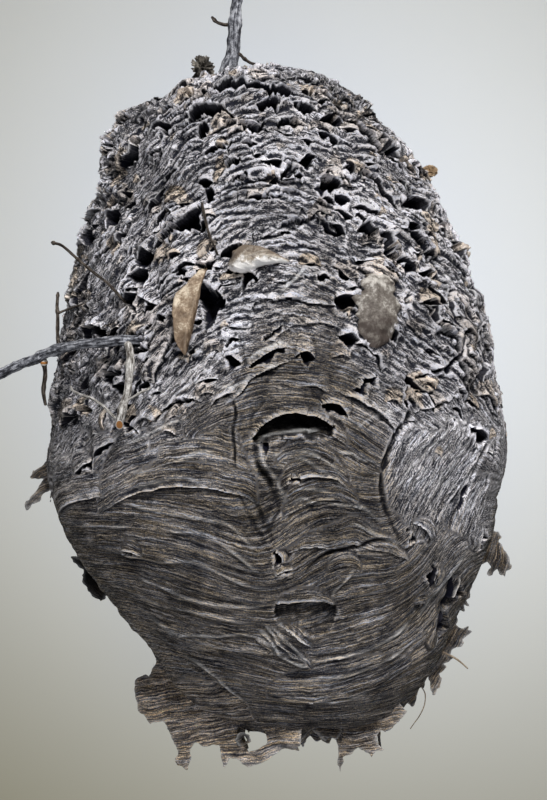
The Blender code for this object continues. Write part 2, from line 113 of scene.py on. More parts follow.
def smoothstep(x: Points) -> Points:
    """Ease from 0 to 1 while x goes from 0 to 1."""
    x = np.clip(x, 0, 1)
    return x * x * (3 - 2 * x)


class Crumple:
    """Seeded noise from -1 to 1 on a lattice that repeats."""

    CELLS = 32
    OCTAVE_SHIFT = 7.3

    def __init__(self, seed: int) -> None:
        """Draw the lattice's values.

        Args:
            seed: The same seed gives the same noise.
        """
        draw = np.random.default_rng(seed)
        self.lattice = draw.uniform(-1, 1, (self.CELLS,) * 3)

    def at(self, x: Points, y: Points, z: Points) -> Points:
        """Read the noise; one cell of the lattice is one unit wide.

        Args:
            x: The places' first coordinates.
            y: Their second coordinates.
            z: Their third coordinates.

        Returns:
            One value for each place.
        """
        cell = [np.floor(v).astype(int) for v in (x, y, z)]
        part = [smoothstep(v - c) for v, c in zip((x, y, z), cell)]
        total = 0.0
        for corner in range(8):
            step = [(corner >> k) & 1 for k in range(3)]
            index = tuple((c + s) % self.CELLS for c, s in zip(cell, step))
            weight = 1.0
            for p, s in zip(part, step):
                weight = weight * (p if s else 1 - p)
            total = total + weight * self.lattice[index]
        return total

    def over(self, points: Points, wavelength: float, octaves: int = 1) -> Points:
        """Read noise at points, in finer and weaker octaves.

        Args:
            points: Places in millimetres.
            wavelength: The size of the largest features.
            octaves: How many times the noise is added at half the size and half the strength.

        Returns:
            One value for each point, mostly within -1 and 1.
        """
        total = 0.0
        for k in range(octaves):
            scaled = points * 2**k / wavelength + self.OCTAVE_SHIFT * k
            total = total + 0.5**k * self.at(scaled[..., 0], scaled[..., 1], scaled[..., 2])
        return total


# ---------------------------------------------------------------- shader maths

class Sum:
    """A shader value that takes part in Python expressions by adding Math nodes."""

    def __init__(self, nodes: "Nodes", socket: bpy.types.NodeSocket) -> None:
        """Wrap a node's output socket."""
        self.nodes = nodes
        self.socket = socket

    def _math(self, operation: str, first: "Sum | float", second: "Sum | float") -> "Sum":
        """Add a Math node."""
        made = self.nodes.add("ShaderNodeMath", {"operation": operation}, {0: first, 1: second})
        return Sum(self.nodes, made.outputs[0])

    def __add__(self, other: "Sum | float") -> "Sum":
        """Add."""
        return self._math("ADD", self, other)

    __radd__ = __add__

    def __mul__(self, other: "Sum | float") -> "Sum":
        """Multiply."""
        return self._math("MULTIPLY", self, other)

    __rmul__ = __mul__

    def __sub__(self, other: "Sum | float") -> "Sum":
        """Take another value from this one."""
        return self._math("SUBTRACT", self, other)

    def __rsub__(self, other: float) -> "Sum":
        """Take this value from a number."""
        return self._math("SUBTRACT", other, self)

    def clamped(self) -> "Sum":
        """Keep this value within 0 and 1."""
        made = self.nodes.add("ShaderNodeClamp", {}, {"Value": self})
        return Sum(self.nodes, made.outputs[0])

    def ramp(self, *stops: tuple) -> bpy.types.NodeSocket:
        """Turn this value into a colour.

        Args:
            stops: Pairs of a position and a linear RGB colour.

        Returns:
            The ramp's colour socket.
        """
        made = self.nodes.add("ShaderNodeValToRGB", {"stops": stops}, {"Fac": self})
        return made.outputs["Color"]

    def eased(self, low: float, high: float) -> "Sum":
        """Ease from 0 to 1 while this value goes from low to high."""
        made = self.nodes.add("ShaderNodeMapRange", {"interpolation_type": "SMOOTHSTEP"},
                              {"Value": self, "From Min": low, "From Max": high})
        return Sum(self.nodes, made.outputs["Result"])


class Nodes:
    """The node tree of one material."""

    def __init__(self, name: str) -> None:
        """Make a material with a Principled shader.

        Args:
            name: The material's name.
        """
        self.material = bpy.data.materials.new(name)
        self.material.use_nodes = True
        self.tree = self.material.node_tree
        self.shader = self.tree.nodes["Principled BSDF"]

    def add(self, kind: str, settings: dict, inputs: dict) -> bpy.types.Node:
        """Add any node.

        Args:
            kind: The node's type.
            settings: Its properties, set first; "stops" fills a colour ramp.
            inputs: Values or links of its input sockets, by name or number.

        Returns:
            The node.
        """
        node = self.tree.nodes.new(kind)
        for key, value in settings.items():
            if key == "stops":
                self._fill_ramp(node.color_ramp, value)
            else:
                setattr(node, key, value)
        for key, value in inputs.items():
            self.feed(node.inputs[key], value)
        return node

    def feed(self, socket: bpy.types.NodeSocket,
             value: Sum | bpy.types.NodeSocket | float | tuple) -> None:
        """Link a value to a socket, or set it there.

        Args:
            socket: The input socket.
            value: A Sum, a socket, a number, or three numbers for a colour.
        """
        if isinstance(value, Sum):
            self.tree.links.new(value.socket, socket)
        elif isinstance(value, bpy.types.NodeSocket):
            self.tree.links.new(value, socket)
        elif isinstance(value, tuple) and len(value) == 3 and socket.type == "RGBA":
            socket.default_value = (*value, 1)
        else:
            socket.default_value = value

    @staticmethod
    def _fill_ramp(ramp: bpy.types.ColorRamp, stops: tuple) -> None:
        """Give a colour ramp its positions and colours."""
        while len(ramp.elements) < len(stops):
            ramp.elements.new(1.0)
        for element, (position, colour) in zip(ramp.elements, stops):
            element.position = position
            element.color = (*colour, 1)

    def attribute(self, name: str) -> Sum:
        """Read a number that the mesh holds at its points."""
        node = self.add("ShaderNodeAttribute", {"attribute_name": name}, {})
        return Sum(self, node.outputs["Fac"])

    def place(self, scale: float) -> bpy.types.NodeSocket:
        """Read the place on the object, scaled."""
        coordinates = self.add("ShaderNodeTexCoord", {}, {})
        scaled = self.add("ShaderNodeVectorMath", {"operation": "SCALE"},
                          {0: coordinates.outputs["Object"], "Scale": scale})
        return scaled.outputs[0]

    def vector(self, x: Sum | float, y: Sum | float, z: Sum | float) -> bpy.types.NodeSocket:
        """Join three values into a vector."""
        return self.add("ShaderNodeCombineXYZ", {}, {0: x, 1: y, 2: z}).outputs[0]

    def noise(self, vector: bpy.types.NodeSocket, scale: float, detail: float = 2.0,
              roughness: float = 0.5) -> Sum:
        """Read noise over a vector.

        Args:
            vector: The place.
            scale: How many features there are in a unit.
            detail: How many finer octaves are added.
            roughness: How strong the finer octaves are.

        Returns:
            A value from 0 to 1.
        """
        made = self.add("ShaderNodeTexNoise", {}, {"Vector": vector, "Scale": scale,
                                                   "Detail": detail, "Roughness": roughness})
        return Sum(self, made.outputs["Fac"])

    def line(self, vector: bpy.types.NodeSocket, sharpness: float) -> Sum:
        """Draw thin wavering lines, 1 on the line and 0 off it, along a contour of noise."""
        off = self.noise(vector, 1.0, 3.0, 0.55) - 0.5
        return (1.0 - off * off * sharpness**2).clamped()

    def blend(self, share: Sum | float, first: bpy.types.NodeSocket | tuple,
              second: bpy.types.NodeSocket | tuple, way: str = "MIX") -> bpy.types.NodeSocket:
        """Mix two colours.

        Args:
            share: How much of the second colour shows.
            first: The first colour or its socket.
            second: The second colour or its socket.
            way: How they are mixed.

        Returns:
            The mixed colour's socket.
        """
        node = self.add("ShaderNodeMix", {"data_type": "RGBA", "blend_type": way}, {0: share})
        self.feed(node.inputs[6], first)
        self.feed(node.inputs[7], second)
        return node.outputs[2]

    def bump(self, height: Sum, depth: float, under: bpy.types.NodeSocket | None = None
             ) -> bpy.types.NodeSocket:
        """Turn a height into a normal.

        Args:
            height: From 0, sunk, to 1, raised.
            depth: How high a height of 1 stands, in millimetres.
            under: The normal of the relief that this one lies on.

        Returns:
            The normal's socket.
        """
        inputs = {"Height": height, "Distance": depth * MM, "Strength": 1.0}
        if under is not None:
            inputs["Normal"] = under
        return self.add("ShaderNodeBump", {}, inputs).outputs["Normal"]

    def dressed(self, colour: bpy.types.NodeSocket, roughness: float, specular: float = 0.5,
                normal: bpy.types.NodeSocket | None = None) -> bpy.types.Material:
        """Finish the shader.

        Args:
            colour: The surface's colour.
            roughness: How matt the surface is.
            specular: How strongly it mirrors.
            normal: Its fine relief, if it has one.

        Returns:
            The material.
        """
        self.feed(self.shader.inputs["Base Color"], colour)
        self.shader.inputs["Roughness"].default_value = roughness
        self.shader.inputs["Specular IOR Level"].default_value = specular
        if normal is not None:
            self.feed(self.shader.inputs["Normal"], normal)
        return self.material


# ---------------------------------------------------------------- finishes

@dataclass(frozen=True)
class PaperFinish:
    """Chewed wood fibre laid in thin bands of grey, tan and brown.

    The mesh gives band and along, the place across and along the bands in millimetres, lobe, a
    random number for each lobe, and rim, hollow, young, calm, seam, relief, tone and tan. Of these,
    rim is painted highlight, hollow is painted shade, relief paints raised paper paler and sunk
    paper darker as light and shade, and tone holds the paper's own tone and painted light and shade.

    Attributes:
        name: The material's name.
        old_dark: The colour of weathered paper where it is darkest.
        old_grey: The colour of most of it.
        old_pale: Its palest colour, also painted on raised crests and torn rims as a highlight.
        young_dark: The colour of newly laid paper where it is darkest.
        young_grey: The colour of most of it.
        young_pale: The colour of its palest bands, which raised crests also reach as painted highlight.
        brown: What the colour of brown sheets is multiplied by.
        warm: What the colour of the warmest bands is multiplied by.
        cool: What the colour of the coolest bands is multiplied by.
        hollow_shade_blue: The blue-black that the paper is painted towards deep in a hollow, as painted
            shade.
        roughness: How matt it is.
        specular: How strongly it mirrors.
    """

    name: str = "nest_paper"
    old_dark: tuple = (0.024, 0.026, 0.036)
    old_grey: tuple = (0.262, 0.258, 0.248)
    old_pale: tuple = (0.960, 0.955, 0.945)
    young_dark: tuple = (0.012, 0.0125, 0.017)
    young_grey: tuple = (0.105, 0.102, 0.098)
    young_pale: tuple = (0.540, 0.525, 0.495)
    brown: tuple = (1.06, 0.90, 0.68)
    warm: tuple = (1.26, 1.02, 0.72)
    cool: tuple = (0.86, 0.95, 1.20)
    hollow_shade_blue: tuple = (0.006, 0.0065, 0.017)
    roughness: float = 0.93
    specular: float = 0.15

    def material(self) -> bpy.types.Material:
        """Build the paper's node tree.

        Returns:
            The material.
        """
        nodes = Nodes(self.name)
        band, along, lobe, rim = (nodes.attribute(key) for key in ("band", "along", "lobe", "rim"))
        hollow, young, tone = (nodes.attribute(key) for key in ("hollow", "young", "tone"))
        relief, tan = nodes.attribute("relief"), nodes.attribute("tan")
        whole = 1.0 - nodes.attribute("seam")
        calm = nodes.attribute("calm")
        old, torn = 1.0 - young, 1.0 - calm
        place = nodes.place(1.0 / MM)
        crumple = nodes.noise(place, 0.15, 4.0, 0.62)
        drift = band + (crumple - 0.5) * (torn * 6.0 + 2.4)
        ridges = nodes.noise(nodes.vector(drift * 0.86, along * 0.15, lobe * 53.0), 1.0, 3.0, 0.66)
        hairs = nodes.noise(nodes.vector(drift * 1.9, along * 0.18, lobe * 37.0), 1.0, 2.0, 0.6)
        stripes = nodes.noise(nodes.vector(drift * 1.02, along * 0.026, lobe * 91.0), 1.0, 3.0, 0.62)
        loads = nodes.noise(nodes.vector(drift * 1.0, along * 0.03, lobe * 17.0 + 9.0), 1.0, 2.0, 0.6)
        fibres = nodes.noise(place, 1.0, 3.0, 0.7)
        patches = nodes.noise(place, 0.035, 3.0, 0.6)
        # Thin lines along the bands: the paler ones are painted highlight on crests, the darker ones
        # painted shade in cracks
        crest_highlight = nodes.line(nodes.vector(drift * 0.34, along * 0.011, lobe * 61.0), 30.0)
        crest_highlight = crest_highlight * patches.eased(0.44, 0.60) * whole
        crack_shade = nodes.line(nodes.vector(drift * 0.42, along * 0.020, lobe * 29.0 + 4.0), 26.0)
        crack_shade = crack_shade * patches.eased(0.58, 0.42) * whole
        rough = (ridges * 0.56 + hairs * 0.14 + fibres * 0.30 - 0.5) * whole
        pressed = old * calm
        laid = stripes * (0.44 - pressed * 0.22) + hairs * (pressed * 0.12 + 0.30)
        laid = (laid + fibres * (pressed * 0.10 + 0.26) - 0.5) * whole
        # The relief paints raised paper paler and sunk paper darker, as painted light and shade, over
        # the grain and the bands
        mottle_and_shading = rough * 6.8 + relief * 0.90 + 0.385
        bands_grain_and_shading = mottle_and_shading + (laid * (5.8 - young * 1.5) + relief * 0.70 + 0.42 - mottle_and_shading) * calm
        bands_grain_and_shading = bands_grain_and_shading + crest_highlight * (0.40 - calm * 0.24) - crack_shade * (0.38 - calm * 0.14)
        fresh = bands_grain_and_shading.ramp((0.06, self.young_dark), (0.44, self.young_grey), (0.96, self.young_pale))
        faded = bands_grain_and_shading.ramp((0.10, self.old_dark), (0.44, self.old_grey), (0.84, self.old_pale))
        value = nodes.blend(old, fresh, faded)
        hue = ((loads - 0.5) * 2.5 + (fibres - 0.5) * 2.6 + 0.5).clamped() * (young * 0.70 + 0.25)
        hue = hue + old * 0.19
        colour = nodes.blend(1.0, value, nodes.blend(hue, self.cool, self.warm), "MULTIPLY")
        # tone holds the lobes' own tones and also the painted light and shade laid on the skin
        shade = (patches - 0.5) * 1.2 + 0.97 + tone * 0.12
        colour = nodes.blend(1.0, colour, nodes.vector(shade, shade, shade), "MULTIPLY")
        colour = nodes.blend(1.0, colour, nodes.blend(tan, (1.0, 1.0, 1.0), self.brown), "MULTIPLY")
        # Rims are painted pale as a highlight, and hollows are painted towards blue-black as shade
        deep = hollow.eased(0.01, 0.16)
        colour = nodes.blend(rim * (old * 0.15 + 0.50), colour, self.old_pale)
        colour = nodes.blend(deep * 0.94, colour, self.hollow_shade_blue)
        normal = nodes.bump((laid + crest_highlight * 0.14 - crack_shade * 0.12) * (calm * 0.85 + 0.15), 3.0)
        normal = nodes.bump(rough * (torn * 0.9 + 0.1) + crumple * torn * 0.3, 5.6, normal)
        return nodes.dressed(colour, self.roughness, self.specular, normal)


@dataclass(frozen=True)
class BarkFinish:
    """Dry bark in long streaks, with the bare wood of a cut end.

    The mesh gives along, the place along the shoot, across and up, the place round it, and cut.

    Attributes:
        name: The material's name.
        dark: The colour of its darkest streaks.
        grey: The colour of most of it.
        pale: The colour of its palest streaks.
        wood: The colour in the middle of a cut end.
        sapwood: The colour round it.
        roughness: How matt it is.
        specular: How strongly it mirrors.
    """

    name: str = "grey_bark"
    dark: tuple = (0.018, 0.018, 0.023)
    grey: tuple = (0.115, 0.119, 0.138)
    pale: tuple = (0.480, 0.490, 0.530)
    wood: tuple = (0.55, 0.24, 0.075)
    sapwood: tuple = (0.80, 0.76, 0.70)
    roughness: float = 0.82
    specular: float = 0.25

    def material(self) -> bpy.types.Material:
        """Build the bark's node tree.

        Returns:
            The material.
        """
        nodes = Nodes(self.name)
        along, across, up, cut = (nodes.attribute(key) for key in ("along", "across", "up", "cut"))
        place = nodes.place(1.0 / MM)
        blotch = nodes.noise(place, 0.28, 3.0, 0.6)
        grain = nodes.noise(place, 1.4, 3.0, 0.7)
        streaks = nodes.noise(nodes.vector(across * 2.4, up * 2.4, along * 0.10), 1.0, 3.0, 0.65)
        mixed = (streaks - 0.5) * 1.1 + (grain - 0.5) * 0.45 + (blotch - 0.5) * 0.5 + 0.5
        colour = mixed.ramp((0.34, self.dark), (0.50, self.grey), (0.68, self.pale))
        face = cut.eased(0.4, 0.8)
        bare = nodes.blend((cut - 1.0).clamped().eased(0.10, 0.24), self.sapwood, self.wood)
        colour = nodes.blend(face, colour, bare)
        normal = nodes.bump(grain * 0.5 + streaks * 0.8 + blotch * 0.4, 1.0)
        return nodes.dressed(colour, self.roughness, self.specular, normal)


THICK_BARK = BarkFinish()
PALE_BARK = BarkFinish("pale_bark", (0.070, 0.058, 0.050), (0.300, 0.285, 0.265),
                       (0.720, 0.700, 0.670))
THIN_BARK = BarkFinish("brown_bark", (0.009, 0.006, 0.005), (0.034, 0.026, 0.020),
                       (0.150, 0.125, 0.105))
BARKS = {"top_stem": THICK_BARK, "side_branch": THICK_BARK, "fork_stub": PALE_BARK,
         "stub_twig": PALE_BARK, "stub_spur": PALE_BARK}


@dataclass(frozen=True)
class LeafFinish:
    """A dry leaf: brown blade, paler veins, blotches, one half painted darker as shade, and a faint
    sheen.

    Attributes:
        name: The material's name.
        dark: The colour of its darkest blotches.
        middle: The colour of most of the blade.
        pale: The colour of its palest blotches and veins.
        fade: How much darker it gets from stalk to tip.
        shaded_half: How much darker one half is painted than the other, as painted shade.
        veined: How pale the veins are.
        fresh: How little of it is dark.
        roughness: How matt it is.
        specular: How strongly it mirrors.
    """

    name: str
    dark: tuple
    middle: tuple
    pale: tuple
    fade: float = 0.0
    shaded_half: float = 0.0
    veined: float = 0.12
    fresh: float = 0.40
    roughness: float = 0.62
    specular: float = 0.35

    def material(self) -> bpy.types.Material:
        """Build the leaf's node tree.

        Returns:
            The material.
        """
        nodes = Nodes(self.name)
        vein, edge, along, across = (nodes.attribute(key) for key in ("vein", "edge", "along", "across"))
        place = nodes.place(1.0 / MM)
        blotch = nodes.noise(place, 0.12, 4.0, 0.68)
        speck = nodes.noise(place, 0.9, 3.0, 0.7)
        # One half of the blade is painted darker, as shade
        mottle_and_shading = along * self.fade + across * self.shaded_half + blotch * 1.3 + speck * 0.45 - self.fresh
        colour = mottle_and_shading.ramp((0.30, self.pale), (0.48, self.middle), (0.72, self.dark))
        colour = nodes.blend(vein * self.veined, colour, self.pale)
        colour = nodes.blend(edge.eased(0.86, 1.0) * 0.5, colour, self.dark)
        cells = nodes.noise(place, 1.6, 2.0, 0.6)
        normal = nodes.bump(cells * 0.5 + speck * 0.5 + vein * (1.7 * self.veined), 0.7)
        return nodes.dressed(colour, self.roughness, self.specular, normal)


LEAF_FINISHES = {
    "pointed_leaf": LeafFinish("tan_leaf", (0.105, 0.066, 0.040), (0.260, 0.188, 0.125),
                               (0.640, 0.545, 0.420), 0.46, 0.14, 0.12, 0.56),
    "pale_leaf": LeafFinish("pale_leaf", (0.160, 0.122, 0.090), (0.430, 0.365, 0.290),
                            (0.950, 0.920, 0.880), 0.0, 0.36),
    "round_leaf": LeafFinish("brown_leaf", (0.058, 0.044, 0.037), (0.170, 0.150, 0.130),
                             (0.500, 0.470, 0.430), 0.46, 0.0, 0.03, 0.56),
    "top_bud_tuft": LeafFinish("bud_scales", (0.012, 0.010, 0.009), (0.055, 0.048, 0.040),
                               (0.260, 0.235, 0.200)),
    "edge_scrap": LeafFinish("dry_scrap", (0.120, 0.075, 0.040), (0.300, 0.200, 0.110),
                             (0.550, 0.430, 0.290)),
}
STRAW_FINISH = LeafFinish("loose_fibre", (0.10, 0.07, 0.045), (0.26, 0.20, 0.14), (0.48, 0.42, 0.33))


@dataclass(frozen=True)
class FloorFinish:
    """A plain pale board.

    Attributes:
        name: The material's name.
        colour: The colour of most of it.
        stain: The colour of its faint stains.
        roughness: How matt it is.
    """

    name: str = "pale_floor"
    colour: tuple = (0.40, 0.40, 0.385)
    stain: tuple = (0.38, 0.38, 0.36)
    roughness: float = 0.9

    def material(self) -> bpy.types.Material:
        """Build the floor's node tree.

        Returns:
            The material.
        """
        nodes = Nodes(self.name)
        speckle = nodes.noise(nodes.place(1.0 / MM), 0.02, 2.0)
        return nodes.dressed(nodes.blend(speckle * 0.3, self.colour, self.stain), self.roughness)


# ---------------------------------------------------------------- meshes

def mesh_object(name: str, points: Points, faces: list, fields: dict,
                sharp: float | None = None) -> bpy.types.Object:
    """Make a smooth mesh object.

    Args:
        name: The object's name.
        points: Vertices in millimetres.
        faces: The vertex numbers of each face.
        fields: Numbers kept at each vertex, by attribute name.
        sharp: Edges that bend more than this many degrees are sharp.

    Returns:
        The object, linked to the scene.
    """
    mesh = bpy.data.meshes.new(name)
    mesh.from_pydata((np.asarray(points, np.float32) * MM).tolist(), [], faces)
    for key, values in fields.items():
        kept = mesh.attributes.new(key, "FLOAT", "POINT")
        kept.data.foreach_set("value", np.ascontiguousarray(values, np.float32).ravel())
    mesh.shade_smooth()
    if sharp is not None:
        mesh.set_sharp_from_angle(angle=math.radians(sharp))
    obj = bpy.data.objects.new(name, mesh)
    bpy.context.scene.collection.objects.link(obj)
    return obj


# Puts a quad's corners the other way round, with the same one first
OUTWARD = (0, 3, 2, 1)


def grid_quads(rows: int, columns: int, closed: bool = True) -> Points:
    """Number the quads of a grid of points.

    Args:
        rows: How many rows of points there are.
        columns: How many points each row has.
        closed: Whether each row runs on from its last point to its first.

    Returns:
        Four vertex numbers for each quad, row after row.
    """
    number = np.arange(rows * columns).reshape(rows, columns)
    after = np.roll(number, -1, axis=1)
    quads = np.stack([number[:-1], number[1:], after[1:], after[:-1]], axis=-1)
    return (quads if closed else quads[:, :-1]).reshape(-1, 4)


def paper_fields(band: Points, **others: float | Points) -> dict:
    """Fill in the numbers that a piece of young, calm paper keeps at its points.

    Args:
        band: The place across the bands, in millimetres.
        others: Fields by name; the ones left out are plain.

    Returns:
        Every field that the paper's finish reads.
    """
    known = {"young": 1.0, "calm": 1.0, "band": band, **others}
    return {key: known.get(key, 0.0) + 0 * band for key in PaperSkin.FIELDS}


def cut_grid(inside: Points, x: Points, y: Points) -> tuple:
    """Cut a grid of triangles along the line where a field passes through zero.

    Args:
        inside: The field at the grid's points, over 0 on the part that stays.
        x: The grid's first coordinate.
        y: The grid's second coordinate.

    Returns:
        The points that are left, as pairs, and the faces between them.
    """
    columns = inside.shape[1]
    values, places = inside.ravel(), np.stack([x.ravel(), y.ravel()], axis=1)
    points, faces, number = [], [], {}

    def corner(a: int, b: int) -> int:
        """Number the point a, or the crossing between a and b.

        Args:
            a: A point's number.
            b: The same number, or that of a point beyond the line.

        Returns:
            The number among the points that are left.
        """
        key = (min(a, b), max(a, b))
        if key not in number:
            share = 0.0 if a == b else values[a] / (values[a] - values[b])
            number[key] = len(points)
            points.append(places[a] + (places[b] - places[a]) * share)
        return number[key]

    cells = np.arange(len(values)).reshape(inside.shape)[:-1, :-1]
    kept = np.maximum.reduce([inside[:-1, :-1], inside[1:, :-1], inside[:-1, 1:], inside[1:, 1:]]) > 0
    for a in cells[kept].tolist():
        b, c, d = a + columns, a + columns + 1, a + 1
        for triangle in ((a, b, c), (a, c, d)):
            loop = []
            for p, q in zip(triangle, triangle[1:] + triangle[:1]):
                if values[p] > 0:
                    loop.append(corner(p, p))
                if (values[p] > 0) != (values[q] > 0):
                    loop.append(corner(p, q))
            if len(loop) > 2:
                faces.append(tuple(loop))
    return np.array(points), faces


def inside_outline(points: Points, outline: Points) -> Points:
    """Measure how far points lie inside a closed outline.

    Args:
        points: Pairs of coordinates.
        outline: The outline's corners in turn.

    Returns:
        Each point's distance to the outline, under 0 outside it.
    """
    nearest = np.full(len(points), 1e9)
    inside = np.zeros(len(points), bool)
    for a, b in zip(outline, np.roll(outline, -1, axis=0)):
        share = np.clip((points - a) @ (b - a) / max((b - a) @ (b - a), 1e-9), 0, 1)
        nearest = np.minimum(nearest, np.linalg.norm(points - a - share[:, None] * (b - a), axis=1))
        crosses = (a[1] > points[:, 1]) != (b[1] > points[:, 1])
        slope = (b[0] - a[0]) / (b[1] - a[1]) if a[1] != b[1] else 0.0
        inside ^= crosses & (points[:, 0] < a[0] + (points[:, 1] - a[1]) * slope)
    return np.where(inside, nearest, -nearest)


def thickened(obj: bpy.types.Object, thickness: float) -> bpy.types.Object:
    """Give a sheet a thickness.

    Args:
        obj: The sheet.
        thickness: Its thickness in millimetres.

    Returns:
        The same object.
    """
    solid = obj.modifiers.new("Solidify", "SOLIDIFY")
    solid.thickness = thickness * MM
    solid.offset = 0
    return obj


# ---------------------------------------------------------------- the smooth body

class Skin:
    """The smooth body under the paper: points, outward normals and directions."""

    def __init__(self, level: Points, angle: Points) -> None:
        """Read the body at levels and angles.

        Args:
            level: Places from the crown, 0, to the torn rim.
            angle: Turns round the body in radians: 0 is +X, a quarter turn is the front.
        """
        step = 0.02
        self.points = self.at(level, angle)
        along = self.at(np.minimum(level + step, LEVELS), angle)
        along = along - self.at(np.maximum(level - step, 0), angle)
        around = self.at(level, angle + step) - self.at(level, angle - step)
        self.side = unit(around)
        self.out = unit(np.cross(around, along))
        self.up = unit(np.cross(self.side, self.out))

    @staticmethod
    def at(level: Points, angle: Points) -> Points:
        """Read the body's points.

        Args:
            level: Places from the crown, 0, to the torn rim.
            angle: Turns round the body in radians.

        Returns:
            One point for each pair.
        """
        left = catmull_rom(LEFT_EDGE, level)
        right = catmull_rom(RIGHT_EDGE, level)
        arm = (right - left) / 2
        flat = (left + right) / 2 + arm * np.cos(angle)[..., None]
        height = AXIS_HEIGHT + DEPTH_RATIO * np.linalg.norm(arm, axis=-1) * np.sin(angle)
        return np.concatenate([flat, height[..., None]], axis=-1)


def ledge(turns: Points) -> Points:
    """Overhanging steps: each stands out at its lower edge and sinks upwards to the next one."""
    part = turns - np.floor(turns)
    return smoothstep(part / LEDGE_FALL) * (1 - part)


def notch(angle: Points) -> Points:
    """How deep the bay is that is torn out of the rim's back, from 0 to 1."""
    return np.exp(-(((angle % math.tau - NOTCH_ANGLE) / NOTCH_WIDTH) ** 2))


def rim_tear(angle: Points) -> Points:
    """How far the torn rim is moved up at each place round the mouth."""
    waves = sum(size * np.sin(n * angle + phase) for n, phase, size in RIM_WAVES)
    return RIM_TEAR * waves + NOTCH_RISE * notch(angle)


def settled(points: Points, soft: float = 2.0) -> Points:
    """Flatten what would reach below the surface that the nest lies on.

    Args:
        points: Places in millimetres, which are changed.
        soft: The height under which they are pressed up.

    Returns:
        The same points.
    """
    low = points[:, 2] < soft
    points[low, 2] = soft * np.exp((points[low, 2] - soft) / soft)
    return points


@dataclass
class Lobe:
    """One sheet of paper that hangs over the ones below it, seen from its free lower edge.

    Attributes:
        half_width: Half the width of the free edge.
        height: How far the sheet reaches up from that edge.
        arch: How far the edge's ends hang below its middle; under 0 the edge sags.
        roll: How far the lobe is turned anticlockwise, in radians.
        rise: How far the free edge stands out.
        mouth: How deep the hollow under the edge goes in.
        gape: How far the hollow shows below the edge.
        tone: Lighter over 0, darker under 0.
        seed: A number from 0 to 1 that sets the lobe's own bands.
        ragged: How torn the free edge is, from 0 to 1.
        tan: How brown it is, from 0 to 1.
        dim: Whether the hollow is a shallow box, whose striped floor shows, painted darker as shade.
    """

    half_width: float
    height: float
    arch: float
    roll: float
    rise: float
    mouth: float
    gape: float
    tone: float = 0.0
    seed: float = 0.0
    ragged: float = 1.0
    tan: float = 0.0
    dim: bool = False

    @property
    def reach(self) -> float:
        """The farthest that the lobe or its hollow gets from the middle of its edge."""
        return max(self.half_width, self.height + abs(self.arch), self.gape) + 4


